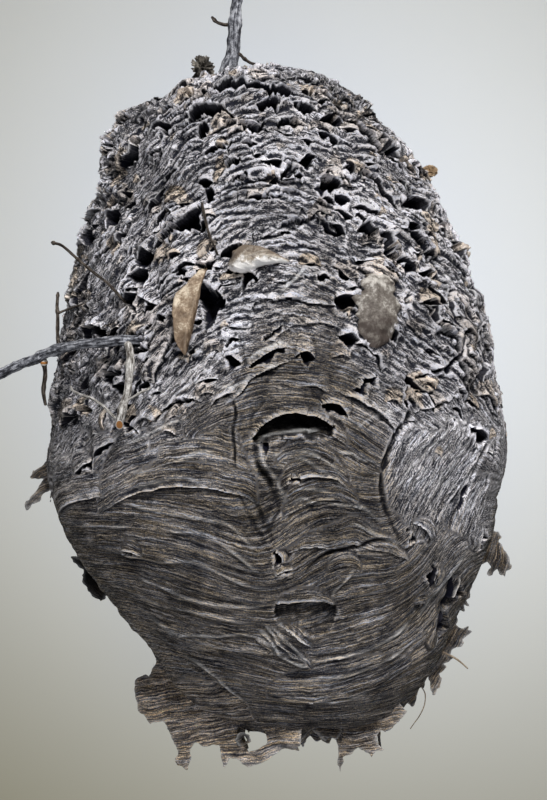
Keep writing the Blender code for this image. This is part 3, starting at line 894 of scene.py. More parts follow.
class PaperSkin:
    """The grid of the paper's outside, on which the lobes are laid one over another.

    Every field holds one value for each grid point, ring after ring from the crown.
    """

    RINGS = 520
    SEGMENTS = 700
    # How closely the columns lie on the back, as a share of the front's
    BACK_DENSITY = 0.3
    # The spacing of the columns over which a step in the bands counts as one
    FINE_SPACING = 1.6
    # How far below the axis the front reaches
    FRONT_BELOW_AXIS = 25
    # How deep the smooth body's dents are
    DENTS = 3.5
    # A free edge: how far it is rounded, how wide its raised lip and its rim are, the rim being
    # painted pale as a highlight, and how far it hangs over
    SNAP, LIP, RIM_WIDTH, OVERHANG = 1.3, 1.6, 0.9, 2.2
    # The deepest that a hollow gets, and how much darker the floor of a shallow one is painted, as shade
    DEEPEST, DIM_TONE = -18.0, -5.6
    # How much lower than what lies there a sheet may be and still cover it
    TUCK = 0.15
    # How much of its full rise a flake has at the least where it covers what lies there
    FLAKE_EDGE = 0.12
    # The half width over which a hollow's lower edge has long waves
    WIDE = 18.0
    # Lines that are drawn: how much they sway, how many pixels to each side they are looked for,
    # how much darker a crease is painted as shade for each millimetre, and the lift under which its
    # inside is painted dark as shade
    STROKE_SWAY, NEAR_STROKE, CREASE_TONE, CRACK = 0.9, 9, -1.6, -4.5
    # Half widths from which on a free edge is torn as deeply as it gets
    FULLY_RAGGED = 12
    # Waves of a free edge: length in millimetres, then two numbers that set each lobe's own
    EDGE_WAVES = ((13, 71, 43), (5, 29, 17), (2.1, 57, 31))
    # Waves of a hollow's lower edge: strength and length in millimetres
    DIM_WAVES, WIDE_WAVES, SMALL_WAVES = (0.12, 9.0), (0.3, 7.5), (0.6, 3.8)
    # How squarely a hollow's ends are cut off
    DIM_SQUARE, SQUARE = 6, 2
    # Ledges of the torn paper: height of a step, its depth and the size of the broken parts
    LEDGES = ((13.0, 3.6, 21.0), (6.5, 2.8, 11.0))
    # The step between neighbours' bands at which a seam starts, and the one at which it is full
    SEAM_FROM, SEAM_TO = 4, 7
    # Of these, rim holds painted highlight, hollow painted shade, relief what paints raised paper paler
    # and sunk paper darker, and tone the paper's own tone together with painted light and shade
    FIELDS = ("band", "along", "lobe", "rim", "hollow", "young", "calm", "tone", "tan", "seam",
              "relief")
    # Pixel rows at which the paper turns from old and pale to young and banded, by pixel column
    TURN_COLUMNS = (60, 110, 170, 230, 262, 330, 350, 385, 405, 440, 500)
    TURN_ROWS = (490, 475, 440, 400, 300, 300, 345, 430, 520, 545, 560)
    TURN_BEHIND = 430.0
    TURN_LENGTH = 130.0
    # Pixel rows at which the crumpled paper turns calm
    CALM_ROWS = (440, 430, 400, 362, 285, 290, 330, 385, 395, 400, 415)
    # How far the paper is drawn in at both edges of what is seen, in millimetres, by pixel row
    DRAWN_ROWS = (85, 115, 150, 200, 240, 290, 340, 390, 430, 460, 500, 540, 580, 610, 655, 690)
    DRAWN_LEFT = (12, 7, 8, 9, 9, 8, 10, 8, 6, 1, -1, -1, 3, 7, 7, 0)
    DRAWN_RIGHT = (8, 6, 0, -4, -6, -5, -3, 0, -4, -3, 3, 0, 0, 3, 0, 0)
    DRAWN_CROWN = 6.0

    def __init__(self, seed: int) -> None:
        """Lay out the grid and the first, plain layer of paper.

        Args:
            seed: Seed of all the noise on the skin.
        """
        self.noise = Crumple(seed)
        self.levels, self.arc = self._even_rings()
        self.angles = self._uneven_angles()
        level, angle = np.meshgrid(self.levels, self.angles, indexing="ij")
        self.level, self.angle = level.ravel(), angle.ravel()
        self.skin = Skin(self.level, self.angle)
        self.points = self.skin.points
        self.seen_x, self.seen_y = View.pixels(self.points)
        self.front = self.points[:, 2] > AXIS_HEIGHT - self.FRONT_BELOW_AXIS
        rings = self.points.reshape(self.RINGS, self.SEGMENTS, 3)
        self.girth = np.linalg.norm(rings - rings.mean(axis=1, keepdims=True), axis=2).mean(axis=1)
        self.base = self.DENTS * self.noise.over(self.points, 120, 2) - self._drawn_in()
        self.height = self.base.copy()
        self.shift = np.zeros_like(self.points)
        self.along = (self.angle - math.pi / 2) * np.repeat(self.girth, self.SEGMENTS)
        self.band = -np.repeat(self.arc, self.SEGMENTS) + 9 * self.noise.over(self.points, 90, 2)
        self.lobe, self.rim, self.hollow, self.tone, self.tan, self.seam, self.relief = (
            np.zeros_like(self.band) for _ in range(7))
        wander = 30 * self.noise.over(self.points + 11.0, 60, 2)
        facing = smoothstep((self.points[:, 2] - AXIS_HEIGHT) / 60)
        self.young, self.calm = (
            smoothstep((self.seen_y + wander - self.TURN_BEHIND + facing * (
                self.TURN_BEHIND - np.interp(self.seen_x, self.TURN_COLUMNS, rows)))
                / self.TURN_LENGTH + 0.5)
            for rows in (self.TURN_ROWS, self.CALM_ROWS))
        bend = 0.8 + 2.0 * (1 - self.calm)
        self.warp = np.stack([bend * self.noise.over(self.points + 90.0 * k, 13, 2) for k in (1, 2)])

    def _even_rings(self) -> tuple:
        """Space the rings evenly down the body.

        Returns:
            Each ring's level, and its distance from the crown in millimetres.
        """
        fine = np.linspace(0, LEVELS, 2000)
        front = Skin.at(fine, np.full_like(fine, math.pi / 2))
        side = Skin.at(fine, np.zeros_like(fine))
        steps = sum(np.linalg.norm(np.diff(line, axis=0), axis=1) for line in (front, side)) / 2
        reach = np.concatenate([[0], np.cumsum(steps)])
        arc = np.linspace(0, reach[-1], self.RINGS + 1)[1:]
        return np.interp(arc, reach, fine), arc

    def _uneven_angles(self) -> Points:
        """Space the columns closely on the front and widely on the back.

        Returns:
            Each column's angle.
        """
        turn = np.linspace(0, math.tau, 4000)
        front = smoothstep((np.sin(turn) + 0.45) / 0.5)
        density = self.BACK_DENSITY + (1 - self.BACK_DENSITY) * front
        reach = np.concatenate([[0], np.cumsum((density[1:] + density[:-1]) / 2)])
        return np.interp(np.arange(self.SEGMENTS) / self.SEGMENTS * reach[-1], reach, turn)

    def _drawn_in(self) -> Points:
        """How far the paper lies inside the smooth body, to match the outline that is seen.

        Returns:
            A length for each grid point.
        """
        beside = np.cos(self.angle)
        left, right = (np.interp(self.seen_y, self.DRAWN_ROWS, drawn)
                       for drawn in (self.DRAWN_LEFT, self.DRAWN_RIGHT))
        share = smoothstep(1.25 * np.abs(beside) - 0.25)
        crown = self.DRAWN_CROWN * (1 - smoothstep(self.level / 1.6))
        return share * np.where(beside < 0, left, right) + (1 - share) * crown

    def follow(self, flow: "Flow") -> None:
        """Make the first layer's bands follow the lines that are seen on the front.

        Args:
            flow: The lines.
        """
        middle = self.points.reshape(self.RINGS, self.SEGMENTS, 3)[:, np.argmin(np.abs(
            self.angles - math.pi / 2))]
        ring_seen = np.maximum.accumulate(View.pixels(middle)[1])
        chosen = np.nonzero(self.front)[0]
        seen = np.stack([self.seen_x[chosen], self.seen_y[chosen]], axis=1)
        facing = smoothstep((self.points[chosen, 2] - AXIS_HEIGHT - 5) / 45)
        arch = Flow.arch(seen)
        past = np.minimum(arch - ring_seen[0], 0) * View.MM_A_PIXEL
        wave = 7 * self.noise.over(self.points[chosen] + 5.0, 55, 2)
        self.band[chosen] += facing * (wave - np.interp(arch, ring_seen, self.arc) - past
                                       - self.band[chosen])
        self.grain, self.course = self.band.copy(), self.along.copy()
        low = self.front & (self.seen_y > flow.TOP)
        chosen = np.nonzero(low)[0]
        seen = np.stack([self.seen_x[chosen], self.seen_y[chosen]], axis=1)
        value = np.interp(flow.read(seen), ring_seen, self.arc)
        share = smoothstep((self.points[chosen, 2] - AXIS_HEIGHT + 15) / 35)
        share *= smoothstep((self.seen_y[chosen] - flow.TOP) / 30)
        self.band[chosen] += share * (-value - self.band[chosen])

    def window(self, level: float, angle: float, reach: float) -> Points:
        """Choose the grid points near a place.

        Args:
            level: The place's level.
            angle: The place's angle.
            reach: How far the window reaches each way.

        Returns:
            The numbers of the grid points.
        """
        row = int(np.interp(level, self.levels, np.arange(self.RINGS)))
        spread = int(reach / (self.arc[1] - self.arc[0]) * 1.5) + 2
        rows = np.arange(max(0, row - spread), min(self.RINGS, row + spread + 1))
        off = (self.angles - angle + math.pi) % math.tau - math.pi
        columns = np.nonzero(np.abs(off) * self.girth[row] < reach * 1.5)[0]
        return (rows[:, None] * self.SEGMENTS + columns[None, :]).ravel()

    def lay_round(self, lobe: Lobe, level: float, angle: float, flake: bool = False) -> None:
        """Lay a lobe anywhere on the body.

        Args:
            lobe: The sheet.
            level: The level of its free edge's middle.
            angle: The angle of its free edge's middle.
            flake: Whether it is a small flake that follows the relief under it.
        """
        chosen = self.window(level, angle, lobe.reach)
        centre = Skin(np.array([level]), np.array([angle]))
        offset = self.points[chosen] - centre.points[0]
        # Seen from outside, the side direction runs to the left
        right, up = -(offset @ centre.side[0]), offset @ centre.up[0]
        near = np.abs(offset @ centre.out[0]) < max(12.0, 0.7 * lobe.reach)
        if not flake:
            wave = 9 * self.noise.over(self.points[chosen] + 63.0, 22, 2)
            near &= ~(self.front[chosen] & (self.seen_y[chosen] > Envelope.FREE_ROW)
                      & (self.points[chosen, 2] + wave > AXIS_HEIGHT - 4))
        self._lay(lobe, chosen[near], right[near], up[near], flake)

    def lay_seen(self, lobe: Lobe, x: float, y: float) -> None:
        """Lay a lobe on the front, where the photograph shows it.

        Args:
            lobe: The sheet, with its sizes as seen from the front.
            x: Pixel column of the middle of its free edge.
            y: Pixel row of the middle of its free edge.
        """
        far = np.hypot(self.seen_x - x, self.seen_y - y) + 1e3 * ~self.front
        place = self.points[np.argmin(far)]
        right, up = self.points[:, 0] - place[0], self.points[:, 1] - place[1]
        reach = lobe.reach * 1.3
        chosen = np.nonzero(self.front & (np.abs(right) < reach) & (np.abs(up) < reach))[0]
        self._lay(lobe, chosen, right[chosen], up[chosen], False)

    def _lay(self, lobe: Lobe, chosen: Points, right: Points, up: Points, flake: bool) -> None:
        """Sink the hollow under a lobe's edge, then raise the lobe over what lies there.

        Args:
            lobe: The sheet.
            chosen: Numbers of the grid points near it.
            right: How far each lies to the right of the free edge's middle.
            up: How far each lies above it.
            flake: Whether the sheet follows the relief under it.
        """
        turn = (math.cos(lobe.roll), math.sin(lobe.roll))
        right, up = right + self.warp[0, chosen], up + self.warp[1, chosen]
        across = right * turn[0] + up * turn[1]
        above = up * turn[0] - right * turn[1]
        own_up = self.skin.up[chosen] * turn[0] + self.skin.side[chosen] * turn[1]
        still = 0 * across
        sway = self.noise.at(above / 9, still + 3, lobe.seed * 61 + still)
        share = across / (lobe.half_width * (1 + 0.2 * sway * lobe.ragged))
        edge, wave = self._free_edge(lobe, across, share)
        from_edge = above - edge
        if lobe.gape > 0:
            self._sink(lobe, chosen, share, from_edge, own_up)
        rise = np.clip(from_edge / lobe.height, 0, None)
        crown = np.maximum(1 - share**2 - rise**2, 0)
        over = (from_edge >= 0) & (crown > 0)
        chosen, from_edge, share, rise, crown = (
            values[over] for values in (chosen, from_edge, share, rise, crown))
        profile = (1 - share**2) ** 0.8 * (1 - rise) ** 0.85
        lip = np.exp(-from_edge / self.LIP) * min(1.0, lobe.rise / 4)
        candidate = lobe.rise * profile * smoothstep(crown * 6) + 0.8 * lip * profile
        under = self.height[chosen] if flake else self.base[chosen]
        raised = under + candidate
        wins = profile > self.FLAKE_EDGE if flake else raised > self.height[chosen] - self.TUCK
        i = chosen[wins]
        self.height[i] = raised[wins]
        from_edge = from_edge[wins]
        self.band[i] = from_edge
        self.along[i] = across[over][wins]
        self.lobe[i] = lobe.seed
        self.tone[i] = lobe.tone
        # The free edge's rim is painted pale as a highlight, the more so over a deeper hollow
        bright = np.clip(0.55 + 0.9 * wave[over][wins], 0, 1) * min(1.0, 0.4 + lobe.mouth / 8)
        self.rim[i] = bright * np.exp(-((from_edge / self.RIM_WIDTH) ** 2))
        self.tan[i] = lobe.tan
        self.hollow[i] = 0
        droop = self.OVERHANG * min(1.0, lobe.rise / 6) * smoothstep(1 - from_edge / 5)
        droop += np.maximum(self.SNAP - np.abs(from_edge - self.SNAP), 0)
        self.shift[i] = -own_up[over][wins] * droop[:, None]

    def _free_edge(self, lobe: Lobe, across: Points, share: Points) -> tuple:
        """Follow a lobe's torn free edge.

        Args:
            lobe: The sheet.
            across: How far along the edge each place lies, in millimetres.
            share: The same as a share of the lobe's half width.

        Returns:
            How far up the edge lies at each place, and its longest wave from -1 to 1.
        """
        still = 0 * across
        wave, jag, tooth = (
            self.noise.at(across / length + lobe.seed * start, still, lobe.seed * layer + still)
            for length, start, layer in self.EDGE_WAVES)
        ragged = lobe.ragged * min(1.0, lobe.half_width / self.FULLY_RAGGED)
        return ragged * (1.9 * wave + 0.9 * jag + 0.25 * tooth) - lobe.arch * share**2, wave

    def _sink(self, lobe: Lobe, chosen: Points, share: Points, from_edge: Points,
              own_up: Points) -> None:
        """Sink the hollow under a lobe's free edge.

        Args:
            lobe: The sheet over it.
            chosen: Numbers of the grid points near it.
            share: How far along the edge each lies, from -1 to 1.
            from_edge: How far above the edge each lies.
            own_up: The lobe's upward direction at each.
        """
        still, across = 0 * share, share * lobe.half_width
        wide = lobe.half_width > self.WIDE
        waves = self.WIDE_WAVES if wide else self.SMALL_WAVES
        swing, length = self.DIM_WAVES if lobe.dim else waves
        uneven = 1 + swing * self.noise.at(across / length, lobe.seed * 50 + still, still)
        uneven += 0.5 * swing * self.noise.at(across / 1.8, lobe.seed * 50 + still, still + 3)
        square = self.DIM_SQUARE if lobe.dim else self.SQUARE
        reach = lobe.gape * np.maximum(1 - np.abs(share) ** square, 0) * uneven + 1e-6
        sunk = -from_edge / reach
        under = (sunk > 0) & (sunk < 1) & (np.abs(share) < 1)
        depth = (1 - sunk[under] ** 1.6) * np.minimum(1, 2.2 * (1 - np.abs(share[under]) ** square))
        i = chosen[under]
        rough = 1 + 0.35 * self.noise.over(self.points[i], 4.0, 2)
        self.height[i] = np.maximum(self.height[i] - lobe.mouth * depth * rough, self.DEEPEST)
        # A shallow hollow's floor is painted darker as shade; a deep one is painted towards blue-black
        # as shade
        if lobe.dim:
            self.tone[i] = self.DIM_TONE * (1 - sunk[under] ** 5)
        else:
            dark = depth * min(1.0, lobe.mouth / 6)
            dark = 0.15 * smoothstep(dark / 0.5) + 0.85 * smoothstep((dark - 0.5) / 0.1)
            self.hollow[i] = np.maximum(self.hollow[i], dark)
        self.rim[i] = 0
        pull = self.OVERHANG * min(1.0, lobe.mouth / 6) * smoothstep(1 + from_edge[under] / 3.0)
        self.shift[i] += own_up[under] * pull[:, None]
        lip = (sunk >= 1) & (from_edge > -reach - 3) & (np.abs(share) < 0.9)
        self.height[chosen[lip]] += min(1.2, 0.15 * lobe.mouth) * (1 - np.abs(share[lip]))

    def crumple(self) -> None:
        """Add the fine relief: broken ledges and wrinkles above, thin terraces of bands below."""
        wave = self.noise.over(self.points + 51.0, 20, 2)
        whole = (self.seen_y < Flow.TOP - 48 + 14 * wave).astype(float)
        self.band += whole * (self.grain - self.band)
        self.along += whole * (self.course - self.along)
        self.lobe *= 1 - whole
        torn = 1 - self.calm
        open_skin = 1 - self.hollow
        wander = self.noise.over(self.points + 31.0, 24.0, 3)
        for width, depth, broken in self.LEDGES:
            strength = smoothstep(0.5 + 1.4 * self.noise.over(self.points + 5 * width, broken, 1))
            steps = ledge(self.band / width + 0.9 * wander)
            self.height += torn * open_skin * depth * strength * steps
        wrinkles = self.noise.at(self.band / 2.5, self.along / 6.5, self.lobe * 5 + wander)
        folds = 1 - 2 * np.abs(self.noise.over(self.points + 77.0, 17.0, 2))
        self.height += torn * (0.8 * wrinkles + 1.6 * folds) + (0.5 + 0.9 * torn) * wander
        lumps = 1 - 2 * np.abs(self.noise.over(self.points + 19.0, 9.0, 2))
        self.height += torn * open_skin * 0.5 * lumps
        terraces = self.noise.at(self.band / 5.2, self.along / 45, self.lobe * 23)
        fine = self.noise.at(self.band / 2.3, self.along / 24, self.lobe * 11)
        banded = self.calm * (0.5 + 0.5 * self.young) * open_skin
        self.height += banded * (0.85 * terraces + 0.45 * fine)
        band = self.band.reshape(self.RINGS, self.SEGMENTS)
        step = np.maximum(*(np.abs(np.roll(band, way, axis=1) - band) for way in (1, -1)))
        step[1:] = np.maximum(step[1:], np.abs(np.diff(band, axis=0)))
        step[:-1] = np.maximum(step[:-1], np.abs(np.diff(band, axis=0)))
        step /= np.maximum(1.0, np.outer(self.girth, np.gradient(self.angles)) / self.FINE_SPACING)
        width = self.SEAM_TO - self.SEAM_FROM
        self.seam = smoothstep((step.ravel() - self.SEAM_FROM) / width) * (1 - whole)
        # The relief paints raised paper paler and sunk paper darker in the finish, as light and shade
        self.relief = self._relief()

    def draw(self, stroke: "Stroke") -> None:
        """Raise a ridge or sink a crease along a line that is seen on the front.

        Args:
            stroke: The line.
        """
        knots = np.asarray(stroke.line, float)
        length = np.hypot(*np.diff(knots, axis=0).T).sum()
        path = catmull_rom(knots, np.linspace(0, len(knots) - 1, int(length) + 2))
        seen = np.stack([self.seen_x, self.seen_y], axis=1) + self.STROKE_SWAY * self.warp.T
        low, high = path.min(axis=0) - self.NEAR_STROKE, path.max(axis=0) + self.NEAR_STROKE
        chosen = np.nonzero(self.front & ((seen > low) & (seen < high)).all(axis=1))[0]
        far = np.linalg.norm(seen[chosen][:, None] - path[None], axis=2)
        nearest = far.argmin(axis=1)
        share = nearest / (len(path) - 1)
        still = 0 * share
        fade = smoothstep(4 * np.minimum(share, 1 - share) + 0.1)
        fade *= np.clip(0.95 + 0.6 * self.noise.at(nearest / 11, still + knots[0, 0], still), 0.3, 1.4)
        wide = stroke.width * (1 + 0.3 * self.noise.at(nearest / 9, still, still + knots[0, 1]))
        off = far[np.arange(len(chosen)), nearest] * View.FRONT_MM_A_PIXEL / wide
        swell = fade * np.exp(-(off**2)) * (1 - self.hollow[chosen])
        self.height[chosen] += stroke.lift * swell
        # The ridge's top is painted pale as a highlight, a crease darker as shade, and the inside of a
        # deep split dark as shade
        self.rim[chosen] = np.maximum(self.rim[chosen], stroke.shine * swell)
        self.tone[chosen] += self.CREASE_TONE * np.clip(-stroke.lift, 0, 3) * swell
        if stroke.lift < self.CRACK:
            self.hollow[chosen] = np.maximum(self.hollow[chosen], smoothstep(2 * swell - 0.6))
            self.rim[chosen] *= 1 - smoothstep(2 * swell - 0.6)

    def paint_light_shade_and_tone(self, patch: "LightShadeAndTonePatch") -> None:
        """Paint a soft patch lighter or darker; the patches hold painted light, painted shade and the
        paper's own tone.

        Args:
            patch: The patch.
        """
        far = np.hypot(self.seen_x - patch.x, self.seen_y - patch.y) / patch.reach
        self.tone += self.front * patch.tone * np.exp(-(far**2))

    def _relief(self) -> Points:
        """How far each point stands over the ones round it, from -1 to 1.

        Returns:
            A value for each grid point.
        """
        rings = np.maximum(self.height, -1).reshape(self.RINGS, self.SEGMENTS)
        soft = rings
        for axis in (0, 1):
            soft = sum(np.roll(soft, k, axis=axis) for k in range(-2, 3)) / 5
        relief = (rings - soft) / 1.6
        relief[:3] = relief[-3:] = 0
        return np.clip(relief, -1, 1).ravel()

    def press(self, places: Points, reach: float, gap: float) -> None:
        """Press the paper down where something lies over it.

        Args:
            places: Points of what lies there.
            reach: How far round each point the paper is pressed.
            gap: How far below the points it stays.
        """
        standing = self.points + self.skin.out * (self.height - INSET)[:, None]
        for place in places:
            near = np.nonzero(np.hypot(*(self.points[:, :2] - place[:2]).T) < reach)[0]
            near = near[self.front[near]]
            over = standing[near, 2] - (place[2] - gap)
            drop = np.maximum(over, 0) / np.maximum(self.skin.out[near, 2], 0.3)
            self.height[near] -= drop
            standing[near, 2] -= np.maximum(over, 0)

    def surface(self) -> Points:
        """The finished outside, point by point.

        Returns:
            A place in millimetres for each grid point.
        """
        near_rim = smoothstep((self.level - LEVELS + 0.6) / 0.6)
        calm = (0.35 + 0.65 * smoothstep(self.level / 1.6)) * (1 - 0.5 * near_rim)
        lift = self.height * calm - INSET
        placed = self.points + self.skin.out * lift[:, None] + self.shift * calm[:, None]
        lower = smoothstep((self.level - LEVELS + RIM_REACH) / RIM_REACH)
        placed[:, 1] += lower * (RIM_RISE_AT_FRONT * np.sin(self.angle) + rim_tear(self.angle))
        return settled(placed)


class View:
    """The camera's view, and the photograph's pixels in it."""

    WIDTH, HEIGHT = 547, 800
    MM_A_PIXEL = 0.75
    FRONT_MM_A_PIXEL = 0.69
    ABOVE_AXIS = 1050.0
    LENS = 63.0

    @classmethod
    def pixels(cls, points: Points) -> tuple:
        """Where points are seen.

        Args:
            points: Places in millimetres.

        Returns:
            The pixel columns and the pixel rows.
        """
        share = cls.ABOVE_AXIS / (cls.ABOVE_AXIS + AXIS_HEIGHT - points[..., 2])
        x = cls.WIDTH / 2 + points[..., 0] * share / cls.MM_A_PIXEL
        y = cls.HEIGHT / 2 - points[..., 1] * share / cls.MM_A_PIXEL
        return x, y

    @classmethod
    def flat(cls, pixels: Points | tuple, height: float) -> Points:
        """Where pixels lie on a level at a height.

        Args:
            pixels: Pairs of a pixel column and a pixel row.
            height: The level's height in millimetres.

        Returns:
            The X and Y of each pixel in millimetres.
        """
        share = cls.MM_A_PIXEL * (1 + (AXIS_HEIGHT - height) / cls.ABOVE_AXIS)
        pixels = np.asarray(pixels, float)
        return (pixels - (cls.WIDTH / 2, cls.HEIGHT / 2)) * (share, -share)


class Flow:
    """Lines that the bands follow on the lower front, each with the pixel row it stands for."""

    TOP = 470
    LINES = (
        (455, ((60, 470), (110, 462), (170, 440), (225, 445), (300, 440), (400, 440), (480, 450))),
        (500, ((62, 500), (111, 502), (165, 509), (192, 518), (219, 525), (242, 537), (260, 557))),
        (530, ((72, 530), (129, 533), (192, 536), (227, 552), (267, 577))),
        (552, ((88, 548), (140, 557), (200, 566), (236, 578), (277, 592))),
        (584, ((104, 580), (140, 587), (188, 602), (224, 611), (270, 616))),
        (606, ((118, 596), (147, 614), (169, 618), (194, 617), (229, 621), (268, 628))),
        (630, ((134, 620), (170, 641), (201, 642), (226, 640), (254, 637), (277, 653), (297, 670))),
        (641, ((160, 650), (205, 652), (242, 647), (263, 656), (283, 670), (303, 680), (334, 681),
               (365, 672), (395, 663), (420, 648), (441, 628), (460, 600))),
        (668, ((180, 670), (222, 683), (253, 686), (289, 690), (324, 692), (355, 688), (390, 680))),
        (700, ((210, 705), (263, 712), (293, 712), (324, 716), (350, 717), (385, 708), (406, 694))),
        (738, ((240, 738), (300, 742), (360, 738))),
        (500, ((268, 515), (300, 490), (340, 485), (365, 495), (385, 515), (398, 534))),
        (518, ((280, 540), (302, 515), (330, 512), (364, 522), (390, 540), (406, 550))),
        (550, ((303, 582), (308, 571), (327, 556), (346, 547), (367, 543), (388, 541), (405, 549))),
        (560, ((312, 584), (322, 569), (340, 559), (357, 553), (379, 555), (402, 556))),
        (584, ((322, 598), (334, 592), (350, 584), (377, 586), (398, 585), (414, 574), (425, 556),
               (436, 530))),
        (606, ((290, 618), (330, 612), (370, 606), (400, 604), (421, 592), (436, 570), (452, 535))),
        (624, ((300, 648), (333, 642), (360, 636), (385, 628), (408, 620), (427, 603), (444, 576),
               (462, 540))),
        (634, ((312, 664), (333, 662), (360, 657), (385, 648), (412, 635), (436, 611), (456, 580),
               (474, 545))),
    )
    SMOOTH = 8.0
    CENTRE = 285.0
    BEND = 0.0035

    @classmethod
    def arch(cls, places: Points) -> Points:
        """The row at the middle of the arching band that each place of the upper front lies on."""
        return places[..., 1] - cls.BEND * (places[..., 0] - cls.CENTRE) ** 2

    @classmethod
    def lean(cls, x: float) -> float:
        """How far those bands are turned anticlockwise at a pixel column, in radians."""
        return math.atan(-2 * cls.BEND * (x - cls.CENTRE))

    def __init__(self) -> None:
        """Fit a smooth field that has each line's value along the line."""
        self.centres = np.array([place for _, line in self.LINES for place in line], float)
        values = np.array([value for value, line in self.LINES for _ in line], float)
        count = len(values)
        bend = self._kernel(self.centres) + self.SMOOTH * np.eye(count)
        flat = np.concatenate([np.ones((count, 1)), self.centres], axis=1)
        system = np.block([[bend, flat], [flat.T, np.zeros((3, 3))]])
        self.weights = np.linalg.solve(system, np.concatenate([values, np.zeros(3)]))

    def _kernel(self, places: Points) -> Points:
        """How much each of the lines' points pulls at each place."""
        squares = ((places[:, None] - self.centres[None]) ** 2).sum(axis=2)
        return squares * np.log(squares + 1e-6) / 2000

    def read(self, places: Points) -> Points:
        """Read the field.

        Args:
            places: Pixel columns and rows.

        Returns:
            The pixel row that each place's band stands for.
        """
        parts = []
        for some in np.array_split(places, 24):
            parts.append(self._kernel(some) @ self.weights[:-3] + self.weights[-3]
                         + some @ self.weights[-2:])
        return np.concatenate(parts)


@dataclass
class Row:
    """Lobes in a row round the body, with the sizes of a Lobe.

    Attributes:
        level: The level of their free edges, from the crown, 0, to the torn rim.
    """

    level: float
    half_width: float
    height: float
    rise: float
    mouth: float
    gape: float
    arch: float


@dataclass
class SeenSheet:
    """A sheet that stands out in the photograph, with the sizes of a Lobe.

    Attributes:
        x: Pixel column of the middle of its free edge.
        y: Pixel row of the middle of its free edge.
        roll: How far the sheet is turned anticlockwise, in degrees.
        tone: Drawn at random where it is left out.
    """

    x: float
    y: float
    half_width: float
    height: float
    arch: float
    roll: float
    rise: float
    mouth: float = 0.0
    gape: float = 0.0
    tone: float | None = None
    tan: float = 0.0
    dim: bool = False

    def lobe(self, rng: random.Random) -> Lobe:
        """Make the sheet's lobe.

        Args:
            rng: Where its own bands and tone are drawn from.

        Returns:
            The lobe.
        """
        drawn = rng.uniform(-0.6, 0.6)
        tone = drawn if self.tone is None else self.tone
        return Lobe(self.half_width, self.height, self.arch, math.radians(self.roll), self.rise,
                    self.mouth, self.gape, tone, rng.random(), 1.0 if self.mouth else 0.25,
                    self.tan, self.dim)


